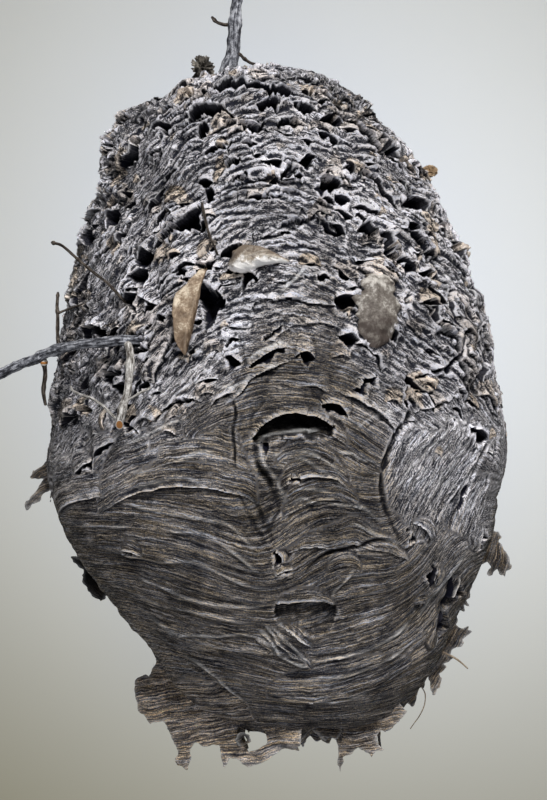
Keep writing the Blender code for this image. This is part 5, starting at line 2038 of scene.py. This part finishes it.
# The sheets that hang past the nest's edge, as pixels seen from the front
TORN_SHEETS = (
    # The large flap and the hem flap are painted much lighter, as painted light where the body shades
    # them, partly also as paler paper
    TornSheet("left_hanging_flap", 200.0, 0.47, (
        (215, 640), (175, 655), (161, 657), (154, 661), (153, 668), (150, 672), (147, 682), (133, 683),
        (131.5, 694), (134, 707), (137, 721), (141, 721), (148, 730), (152, 727), (161, 725), (170, 739),
        (178, 753), (174.5, 761), (176.5, 769), (183, 768), (187, 772.5), (191, 759), (190, 749),
        (195, 743), (203, 745), (215, 744), (219.5, 746), (221, 752), (225, 765), (229, 753), (238, 755),
        (248, 760.5), (262, 755), (284, 738), (298, 738), (300, 700), (262, 668)),
        (((237, 722), (250, 719), (266, 722), (268, 731), (260, 742), (249, 746), (243, 738),
          (237, 735)),),
        14.0, 5.0, 10.5),
    TornSheet("hem_curl", 198.0, 0.0, (
        (236, 740), (239, 735), (244, 733), (249, 736), (250, 742), (247, 747), (240, 747)),
        (((241, 739), (245, 737), (247, 741), (243, 743)),), 30.0, 2.0, -5.0),
    TornSheet("hem_flap", 196.0, -0.1, (
        (286, 700), (283, 722), (292, 738), (297, 733), (300, 741), (303, 746), (306, 736), (311, 729),
        (318, 733), (322, 741), (329, 743), (333, 735), (337, 745), (338, 758), (340, 773), (344, 757),
        (352, 752), (358, 748), (364, 751), (372, 758), (377, 752), (386, 752), (378, 747), (376, 741),
        (381, 732), (386, 735), (392, 729), (399, 722), (407, 712), (385, 690)), (), 4.0, 4.0, 4.0),
    TornSheet("hem_roll", 199.0, 0.0, (
        (282, 712), (340, 712), (342, 733), (336, 742), (331, 738), (325, 741), (319, 734), (312, 730),
        (306, 734), (300, 740), (294, 737), (287, 740), (281, 730)), (), 0.0, 4.0, 0.5),
    TornSheet("right_side_flap", 146.0, 0.0, (
        (470, 520), (491, 531), (499, 533), (502.5, 538), (500.6, 542), (502.5, 547), (508, 555),
        (509.5, 563), (512, 568), (507, 571), (506, 578), (500.6, 573), (497, 569.5), (494, 572),
        (493.6, 576), (490, 576), (488, 570), (491, 567), (488, 563), (470, 570)), (), 70.0, 4.0, 0.1),
    TornSheet("left_side_flap", 146.0, 0.0, (
        (66, 452), (44, 463), (28, 477), (30, 480), (42, 480), (35, 492), (26, 504.5), (27.5, 509),
        (34, 503), (40, 500), (42, 495), (46, 493), (51, 490), (51, 501), (54, 485), (68, 488)),
        (), 35.0, 3.0, -0.2),
    TornSheet("right_lower_tatter", 147.0, 0.0, (
        (440, 585), (478, 572), (472, 585), (468, 592), (470, 598), (466, 600), (469, 606), (463, 604),
        (464, 611), (458, 609), (457, 618), (456, 625), (463, 628), (470, 625), (468, 630), (474, 631),
        (466, 636), (461, 641), (464, 643), (458, 648), (452, 650), (449, 655), (455, 658), (449, 661),
        (443, 664), (447, 668), (444, 673), (441, 675), (442, 684), (440, 693), (437, 689), (434, 694),
        (430, 688), (428, 676), (424, 690), (420, 688), (416, 701), (412, 706), (405, 700), (420, 620)),
        (), 60.0, 3.0, 0.0),
    TornSheet("left_lower_tatter", 147.0, 0.0, (
        (92, 552), (81, 559), (71, 557), (74, 563), (83, 570), (82, 582), (88, 592), (96, 598),
        (101, 603), (106, 596), (118, 600), (126, 590)), (), -50.0, 3.0, -7.0),
)


# ---------------------------------------------------------------- twigs

class End(Enum):
    """How a twig's far end looks."""

    SNAPPED = "snapped"
    CUT = "cut"


@dataclass
class Twig:
    """A round shoot along a route, tapering, with swellings where buds and side shoots sit.

    Attributes:
        name: Its own name and the node that it stands for.
        route: Points of its middle line.
        radii: Its radius at both ends.
        end: How its far end looks.
        knots: Swellings, each (share of the length, how much wider, length in millimetres).
        start: How its near end looks.
        slant: How far the cut at its far end leans back towards the top, as a slope.
        bare_at: The share of its length at which the bark is off, or none under 0.
    """

    name: str
    route: tuple
    radii: tuple
    end: End = End.SNAPPED
    knots: tuple = ()
    start: End = End.SNAPPED
    slant: float = 0.0
    bare_at: float = -1.0

    SIDES = 22
    STEP = 0.7
    CRISP = 50
    BARE_REACH = 2.6
    # Sizes of the rings that close an end, and how far a cut and a snapped end stand out
    CAP = (0.97, 0.88, 0.74, 0.55, 0.3, 0.02)
    CUT_OUT, SNAPPED_OUT = 0.02, 0.8
    # How many radii from its end a slanting cut starts
    SLANTED = 2.5

    def build(self, noise: Crumple) -> bpy.types.Object:
        """Sweep the bark along the route and close both ends.

        Args:
            noise: The bark's relief.

        Returns:
            The twig.
        """
        route = np.asarray(self.route, float)
        length = np.linalg.norm(np.diff(route, axis=0), axis=1).sum()
        count = int(length / self.STEP) + 2
        share = np.linspace(0, 1, count)
        line = catmull_rom(route, share * (len(route) - 1))
        ahead = unit(np.gradient(line, axis=0))
        side, up = self._frame(ahead)
        wide = self.radii[0] + (self.radii[1] - self.radii[0]) * share
        for place, more, reach in self.knots:
            wide = wide * (1 + more * np.exp(-(((share - place) * length / reach) ** 2)))
        caps = self._caps(self.start, -1), self._caps(self.end, 1)
        order = [(0, k, cut, push) for k, cut, push in reversed(caps[0])]
        order += [(i, 1.0, 0.0, 0.0) for i in range(count)]
        order += [(count - 1, k, cut, push) for k, cut, push in caps[1]]
        turn = np.linspace(0, math.tau, self.SIDES, endpoint=False)
        points, along, cut_face = [], [], []
        for i, shrink, cut, push in order:
            way = side[i] * np.cos(turn)[:, None] + up[i] * np.sin(turn)[:, None]
            ring = line[i] + way * wide[i] * shrink + ahead[i] * push * wide[i]
            rough = 1 - cut
            relief = noise.over(ring, 5.0, 2) * 0.10 + noise.over(ring + 40, 1.6, 1) * 0.06
            ring = ring + way * (relief * rough * wide[i] * shrink)[:, None]
            near_tip = max(0.0, 1 - (1 - share[i]) * length / (self.SLANTED * wide[i]))
            ring -= ahead[i] * (way[:, 2] * wide[i] * shrink * self.slant * near_tip)[:, None]
            points.append(ring)
            along.append(np.full(self.SIDES, share[i] * length))
            from_bare = (share[i] - self.bare_at) * length / self.BARE_REACH
            bare = math.exp(-(from_bare**2)) * (self.bare_at >= 0)
            cut_face.append(np.full(self.SIDES, max(cut * (2 - shrink), 1.5 * bare)))
        rows = len(points)
        kept = {"along": np.concatenate(along), "cut": np.concatenate(cut_face),
                "across": np.tile(np.cos(turn), rows), "up": np.tile(np.sin(turn), rows)}
        quads = grid_quads(rows, self.SIDES)[:, OUTWARD].tolist()
        return mesh_object(self.name, np.concatenate(points), quads, kept, self.CRISP)

    def _caps(self, end: End, way: int) -> list:
        """The rings that close an end, each with its size, whether it is cut and how far out it is.

        Args:
            end: How the end looks.
            way: 1 for the far end, -1 for the near one.

        Returns:
            The rings, from the shoot outwards.
        """
        if end is End.CUT:
            return [(k, 1.0, way * self.CUT_OUT) for k in self.CAP]
        return [(k, 0.0, way * self.SNAPPED_OUT * math.sqrt(1 - k * k)) for k in self.CAP]

    @staticmethod
    def _frame(ahead: Points) -> tuple:
        """Carry a cross direction along the route without twisting it.

        Args:
            ahead: The route's direction at each ring.

        Returns:
            The two cross directions at each ring.
        """
        side = np.zeros_like(ahead)
        start = np.array((0.3, 0.2, 1.0))
        side[0] = unit(start - ahead[0] * (start @ ahead[0]))
        for i in range(1, len(ahead)):
            side[i] = unit(side[i - 1] - ahead[i] * (side[i - 1] @ ahead[i]))
        return side, np.cross(ahead, side)


TWIGS = (
    Twig("top_stem", ((-43, 226, 137), (-39, 238, 138), (-35, 248, 139), (-31, 258, 139.5),
                      (-30, 268, 140), (-29, 284, 140), (-28, 295, 140.5), (-27, 305, 141)),
         (6.4, 3.7), End.CUT, ((0.36, 0.18, 4), (0.70, 0.22, 3), (0.97, 0.1, 3))),
    Twig("top_stem_spur", ((-29, 283, 140), (-35, 282, 140.5), (-39, 282.5, 141), (-43, 284, 142),
                           (-46, 287, 143)), (1.5, 1.0), End.SNAPPED, ((0.85, 0.5, 1.6),)),
    Twig("top_stem_twig", ((-31, 258, 140), (-26, 260, 141), (-22, 256, 143), (-17, 252.5, 144),
                           (-11, 250.5, 145), (-5, 247, 146), (1, 241, 146), (5, 234, 146)),
         (1.3, 0.9), End.SNAPPED, ((0.3, 0.4, 1.6), (0.62, 0.4, 1.6))),
    Twig("side_branch", ((-203, 14, 198), (-190, 20, 203), (-178, 25, 208), (-168, 28, 214),
                         (-159, 32, 219), (-148, 35, 228), (-136, 37, 240), (-124, 38, 250),
                         (-107, 39, 264), (-97, 39.5, 269), (-88, 40, 263), (-80, 40, 250)),
         (3.6, 3.2), End.SNAPPED, ((0.33, 0.30, 4), (0.44, 0.22, 4), (0.80, 0.18, 4)), End.CUT),
    Twig("fork_stub", ((-97, 39, 269), (-95, 34, 272), (-94, 28, 275), (-94, 20, 278), (-95, 6, 281),
                       (-98, -5, 283), (-100, -16, 284)), (2.7, 2.6), End.CUT,
         ((0.45, 0.2, 3), (0.86, 0.25, 3)), End.SNAPPED, 1.1),
    Twig("stub_twig", ((-99.5, -13, 284), (-104, -11, 280), (-111, -5, 271), (-121, 1, 260),
                       (-128, 3, 252), (-136, 6, 242), (-140, 9, 226)), (1.0, 0.8), End.SNAPPED,
         ((0.5, 0.5, 1.5),)),
    Twig("stub_spur", ((-96.5, -1, 282), (-91, 2, 284), (-86, 5, 283), (-82, 7, 279), (-79, 10, 264)),
         (0.9, 0.8), End.SNAPPED, ((0.4, 0.5, 1.2),)),
    Twig("upright_twig", ((-147, 35, 228), (-149, 42, 226), (-150, 57, 220), (-151, 66, 216),
                          (-151, 75, 212)), (1.5, 0.9), End.SNAPPED,
         ((0.62, 0.4, 1.8), (0.95, 0.5, 1.5))),
    Twig("upright_twig_spur", ((-150.4, 60, 219), (-146, 62, 219), (-141, 64, 218), (-136, 66, 214),
                               (-130, 68, 203)), (0.9, 0.7)),
    Twig("hanging_twig", ((-160, 31.5, 218), (-160, 25, 216), (-159.5, 18, 215), (-161, 6, 213),
                          (-160, -3, 211)), (1.8, 1.2), End.SNAPPED, ((0.2, 0.6, 2.5), (0.7, 0.3, 2)),
         bare_at=0.2),
    Twig("curved_twig", ((-156, 111, 206), (-148, 108, 212), (-136, 98, 228), (-124, 88, 243),
                         (-112, 79, 254), (-106, 73, 257), (-101, 67, 252), (-97, 62, 238)),
         (1.0, 0.9), End.SNAPPED, ((0.02, 0.6, 1.5), (0.3, 0.35, 1.3), (0.66, 0.4, 1.5))),
    Twig("thin_twig", ((-49, 137, 248), (-47, 128, 263), (-44, 115, 271), (-42, 108, 274),
                       (-39, 101, 276), (-37, 96, 273), (-36, 92, 264)), (0.9, 0.7), End.SNAPPED,
         ((0.5, 0.4, 1.2),)),
)


# Loose fibres that hang from the torn edge
STRAWS = (
    Twig("hem_thread", ((109, -212, 150), (113, -219, 149), (112.5, -228, 148), (109, -236, 147),
                        (105, -242, 146), (102.5, -246, 145)), (0.45, 0.3)),
    Twig("edge_straw", ((126, -188, 147), (135, -192.5, 147), (140, -196, 147), (145, -200.5, 147)),
         (0.9, 0.5)),
)


# ---------------------------------------------------------------- leaves and scraps

@dataclass
class DryLeaf:
    """A dry leaf along its midrib, with its own half width on each side.

    Attributes:
        name: Its own name and the node that it stands for.
        midrib: Stalk and blade points along its middle.
        left: Half widths on one side, evenly spaced along the midrib.
        right: Half widths on the other side.
        curl: How much the blade bends up across, as a share of its half width.
        side: The direction across the leaf.
        veins: How many side veins it has.
        torn: How uneven its outline is, as a share of its half width.
        free: The share of its half width that lies free of the paper.
        wrinkled: How high its wrinkles are, in millimetres.
    """

    name: str
    midrib: tuple
    left: tuple
    right: tuple
    curl: tuple
    side: tuple
    veins: int = 8
    torn: float = 0.05
    free: float = 0.8
    wrinkled: float = 1.0

    ROWS = 110
    COLUMNS = 50
    THICKNESS = 0.35
    # How far the side veins run on towards the tip, and their width, in spaces between them
    VEIN_SLANT, VEIN_WIDTH = 1.3, 0.11
    MIDRIB_WIDTH = 0.8

    def build(self, noise: Crumple) -> bpy.types.Object:
        """Spread the blade beside the midrib and curl it.

        Args:
            noise: The noise of its edge and wrinkles.

        Returns:
            The leaf.
        """
        share = np.linspace(0, 1, self.ROWS)
        spine, side, out = self._frame()
        across = np.linspace(-1, 1, self.COLUMNS)
        places = share * (len(self.left) - 1)
        ragged = 1 + self.torn * noise.at(share * 9, 0 * share, 0 * share + 4)
        ragged = ragged + self.torn * noise.at(share * 23, 0 * share, 0 * share + 14)
        left = catmull_rom([(w,) for w in self.left], places)[:, 0] * ragged
        right = catmull_rom([(w,) for w in self.right], places * (len(self.right) - 1)
                            / (len(self.left) - 1))[:, 0] * ragged
        reach = np.maximum(np.where(across[None] < 0, left[:, None], right[:, None]), 0.6) * across
        bend = np.where(across[None] < 0, self.curl[0], self.curl[1]) * np.abs(reach) * across**2
        slant = share[:, None] * self.veins - np.abs(across)[None] * self.VEIN_SLANT
        off = np.abs(slant - np.round(slant)) / self.VEIN_WIDTH
        vein = np.exp(-(off**2)) * (1 - across**2)[None]
        vein = np.maximum(vein, np.exp(-((reach / self.MIDRIB_WIDTH) ** 2)))
        points = spine[:, None] + side[:, None] * reach[..., None]
        wrinkle = self.wrinkled * noise.over(points, 13, 3) * np.minimum(1, np.abs(reach) / 4)
        lift = bend + wrinkle + 0.15 * vein + 0.3 * noise.over(points + 9, 3.5, 1)
        points = points + out[:, None] * lift[..., None]
        kept = {"vein": vein, "edge": np.abs(across)[None] + 0 * vein,
                "along": share[:, None] + 0 * vein, "across": across[None] + 0 * vein}
        quads = grid_quads(self.ROWS, self.COLUMNS, closed=False)[:, OUTWARD].tolist()
        return thickened(mesh_object(self.name, points.reshape(-1, 3), quads, kept), self.THICKNESS)

    def _frame(self) -> tuple:
        """The midrib, the direction across it and the direction out of the blade, row by row.

        Returns:
            Three arrays with one entry for each row.
        """
        midrib = np.asarray(self.midrib, float)
        spine = catmull_rom(midrib, np.linspace(0, 1, self.ROWS) * (len(midrib) - 1))
        ahead = unit(np.gradient(spine, axis=0))
        side = np.asarray(self.side, float)
        side = unit(side - ahead * (ahead @ side)[:, None])
        out = unit(np.cross(side, ahead))
        return spine, side, out * np.sign(out[:, 2:3])

    def underside(self) -> Points:
        """Some points of the free blade, for the paper to stay below.

        Returns:
            The points in millimetres.
        """
        spine, side, _ = self._frame()
        wide = max(*self.left, *self.right)
        first = self.ROWS // (len(self.midrib) - 1)
        rows = range(first, self.ROWS, 5)
        shares = np.linspace(-self.free, self.free, 5)
        return np.array([spine[i] + side[i] * wide * share for i in rows for share in shares])


LEAVES = (
    DryLeaf("pointed_leaf", ((-46, 90, 259), (-46, 83, 278), (-50, 70, 285), (-54, 54, 288),
                             (-57, 40, 289), (-57, 29, 290)),
            (1.0, 3.5, 8.0, 13.5, 10.0, 6.5, 0.8), (1.2, 2.0, 2.2, 4.5, 5.8, 5.0, 0.6),
            (0.10, 0.9), (1.0, -0.25, 0.3), 9),
    DryLeaf("pale_leaf", ((-31, 88, 268), (-26, 90, 281), (-14, 94, 286), (0, 93, 287), (10, 90, 284)),
            (1.5, 6.5, 11.0, 8.0, 4.5, 1.0), (1.5, 5.5, 7.0, 5.0, 1.8, 0.8), (-0.5, -0.15),
            (0.1, 1.0, 0.25), 6),
    DryLeaf("round_leaf", ((72, 88, 252), (71, 82, 268), (71, 68, 274), (70, 54, 278), (68, 42, 279),
                           (66, 34, 279)),
            (4.0, 10.5, 14.0, 15.0, 13.0, 10.5, 4.0), (4.0, 9.5, 12.5, 13.5, 13.5, 10.0, 3.0),
            (-0.26, -0.30), (1.0, 0.1, -0.45), 8, 0.16, 0.5, 1.9),
)


@dataclass
class Scrap:
    """A small crumpled dry scrap with a root that reaches into the nest.

    Attributes:
        name: Its own name and the node that it stands for.
        centre: The middle of the ball that it is crumpled from.
        half_sizes: Half its size each way.
        root: How far it is drawn out towards the nest.
        crumple: How deep its folds are, as a share of its size.
        spikes: How far its tips stand out, as a share of its size.
    """

    name: str
    centre: tuple
    half_sizes: tuple
    root: tuple
    crumple: float = 0.28
    spikes: float = 0.0

    CRISP = 45

    def build(self, noise: Crumple) -> bpy.types.Object:
        """Crumple a ball into the scrap.

        Args:
            noise: The noise of its folds.

        Returns:
            The scrap.
        """
        ball = bmesh.new()
        bmesh.ops.create_icosphere(ball, subdivisions=5, radius=1)
        way = np.array([vert.co[:] for vert in ball.verts])
        faces = [tuple(vert.index for vert in face.verts) for face in ball.faces]
        ball.free()
        folds = 1 - 2.4 * np.abs(noise.over(way * 9, 3.2, 3))
        tips = smoothstep(1.8 * noise.over(way * 9 + 31.0, 2.6, 2))
        size = 0.86 + self.crumple * folds + self.spikes * (tips - 0.45)
        toward = np.maximum(0, way @ unit(np.asarray(self.root, float)))
        points = np.asarray(self.centre) + way * size[:, None] * np.asarray(self.half_sizes)
        points += np.asarray(self.root) * (toward**3)[:, None]
        kept = {"vein": 0.5 + 0.5 * folds, "edge": 0 * folds, "along": way[:, 1], "across": way[:, 0]}
        return mesh_object(self.name, points, faces, kept, self.CRISP)


SCRAPS = (
    Scrap("top_bud_tuft", (-53, 247, 152), (7.0, 7.0, 6.2), (0.5, -11.0, -3.0), 0.20, 0.60),
    Scrap("edge_scrap", (117, 171, 147), (5.4, 4.2, 3.2), (-7.0, -3.0, 0.0)),
)


# ---------------------------------------------------------------- floor, light and camera

class Studio:
    """The plain floor, the soft lights and the camera that looks straight down."""

    FLOOR_HALF = 6.0
    WORLD_COLOUR = (0.84, 0.89, 1.0, 1)
    WORLD_STRENGTH = 0.10

    def floor(self) -> bpy.types.Object:
        """Lay the pale floor.

        Returns:
            The floor.
        """
        mesh = bpy.data.meshes.new("floor")
        half = self.FLOOR_HALF
        mesh.from_pydata([(-half, -half, 0), (half, -half, 0), (half, half, 0), (-half, half, 0)],
                         [], [(0, 1, 2, 3)])
        floor = bpy.data.objects.new("floor", mesh)
        bpy.context.scene.collection.objects.link(floor)
        floor.data.materials.append(FloorFinish().material())
        return floor

    def light(self, name: str, place: tuple, size: float, power: float, colour: tuple,
              on: bpy.types.Collection, shaded_by: bpy.types.Collection | None = None,
              aim: tuple = (0.0, 0.0, AXIS_HEIGHT * MM)) -> None:
        """Hang an area light.

        Args:
            name: The light's name.
            place: Where it hangs, in metres.
            size: Its side, in metres.
            power: Its power in watts.
            colour: Its linear colour.
            on: The only things that it lights.
            shaded_by: What casts shadows in it, if not the same things.
            aim: The point that it faces, in metres.
        """
        data = bpy.data.lights.new(name, "AREA")
        data.size = size
        data.energy = power
        data.color = colour
        lamp = bpy.data.objects.new(name, data)
        lamp.location = place
        lamp.rotation_euler = (Vector(aim) - Vector(place)).to_track_quat("-Z", "Y").to_euler()
        lamp.light_linking.receiver_collection = on
        lamp.light_linking.blocker_collection = shaded_by or on
        bpy.context.scene.collection.objects.link(lamp)

    @staticmethod
    def group(name: str, members: list) -> bpy.types.Collection:
        """Name a group of things for the lights.

        Args:
            name: The group's name.
            members: What is in it.

        Returns:
            The group.
        """
        kept = bpy.data.collections.new(name)
        for member in members:
            kept.objects.link(member)
        return kept

    def build(self, pieces: list) -> None:
        """Set up the floor, lights, world and camera.

        Args:
            pieces: The nest's pieces.
        """
        self._lights(self.floor(), pieces)
        self._world()
        self._camera()
        bpy.context.scene.view_settings.view_transform = "Standard"

    def _lights(self, board: bpy.types.Object, pieces: list) -> None:
        """Light the nest and the floor each on its own.

        Args:
            board: The floor.
            pieces: The nest's pieces.
        """
        floor, nest = self.group("floor_only", [board]), self.group("nest_only", pieces)
        floor_and_nest = self.group("floor_and_nest", [board, *pieces])
        self.light("key", (0.42, 1.8, 2.0), 0.6, 88.0, (1.0, 0.99, 0.975), nest)
        self.light("fill", (-0.4, -1.4, 2.2), 1.8, 19.0, (0.95, 0.965, 1.0), nest)
        self.light("floor_wash", (0.025, 0.0, 0.57), 0.3, 8.8, (0.82, 0.87, 1.0), floor,
                   aim=(0.22, 0.40, 0.0))
        self.light("overhead", (0.0, -0.8, 2.8), 2.6, 28.0, (1.0, 0.80, 0.10), floor, floor_and_nest)

    def _world(self) -> None:
        """Fill the shadows with a little light from all sides."""
        world = bpy.data.worlds.new("studio")
        bpy.context.scene.world = world
        world.use_nodes = True
        back = world.node_tree.nodes["Background"]
        back.inputs["Color"].default_value = self.WORLD_COLOUR
        back.inputs["Strength"].default_value = self.WORLD_STRENGTH

    def _camera(self) -> None:
        """Hang the camera over the nest, looking straight down."""
        data = bpy.data.cameras.new("camera")
        data.lens = View.LENS
        camera = bpy.data.objects.new("camera", data)
        camera.location = (0, 0, (AXIS_HEIGHT + View.ABOVE_AXIS) * MM)
        bpy.context.scene.collection.objects.link(camera)
        bpy.context.scene.camera = camera


def place_piece(piece: bpy.types.Object, material: bpy.types.Material,
                node: str) -> bpy.types.Object:
    """Dress a piece and let it stand for a node of the frame.

    Args:
        piece: The piece.
        material: Its material.
        node: The node that it stands for.

    Returns:
        The piece.
    """
    if piece.name == node:
        piece.name = f"{node}_surface"
    piece.data.materials.append(material)
    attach(piece, BODY)
    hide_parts(node)
    LOG.info("%s: %d faces", piece.name, len(piece.data.polygons))
    return piece


def main() -> None:
    """Build the nest and everything round it."""
    paper = PaperFinish().material()
    envelope = Envelope()
    pieces = [place_piece(piece, paper, "nest_envelope") for piece in envelope.build()]
    noise = Crumple(envelope.seed + 1)
    for sheet in TORN_SHEETS:
        pieces.append(place_piece(sheet.build(noise), paper, "nest_envelope"))
    barks = {finish.name: finish.material() for finish in (THICK_BARK, PALE_BARK, THIN_BARK)}
    for twig in TWIGS:
        bark = barks[BARKS.get(twig.name, THIN_BARK).name]
        pieces.append(place_piece(twig.build(noise), bark, twig.name))
    straw_finish = STRAW_FINISH.material()
    for straw in STRAWS:
        pieces.append(place_piece(straw.build(noise), straw_finish, "nest_envelope"))
    for dry in (*LEAVES, *SCRAPS):
        finish = LEAF_FINISHES[dry.name].material()
        pieces.append(place_piece(dry.build(noise), finish, dry.name))
    Studio().build(pieces)


if __name__ == "__main__":
    logging.basicConfig(level=logging.INFO)
    main()
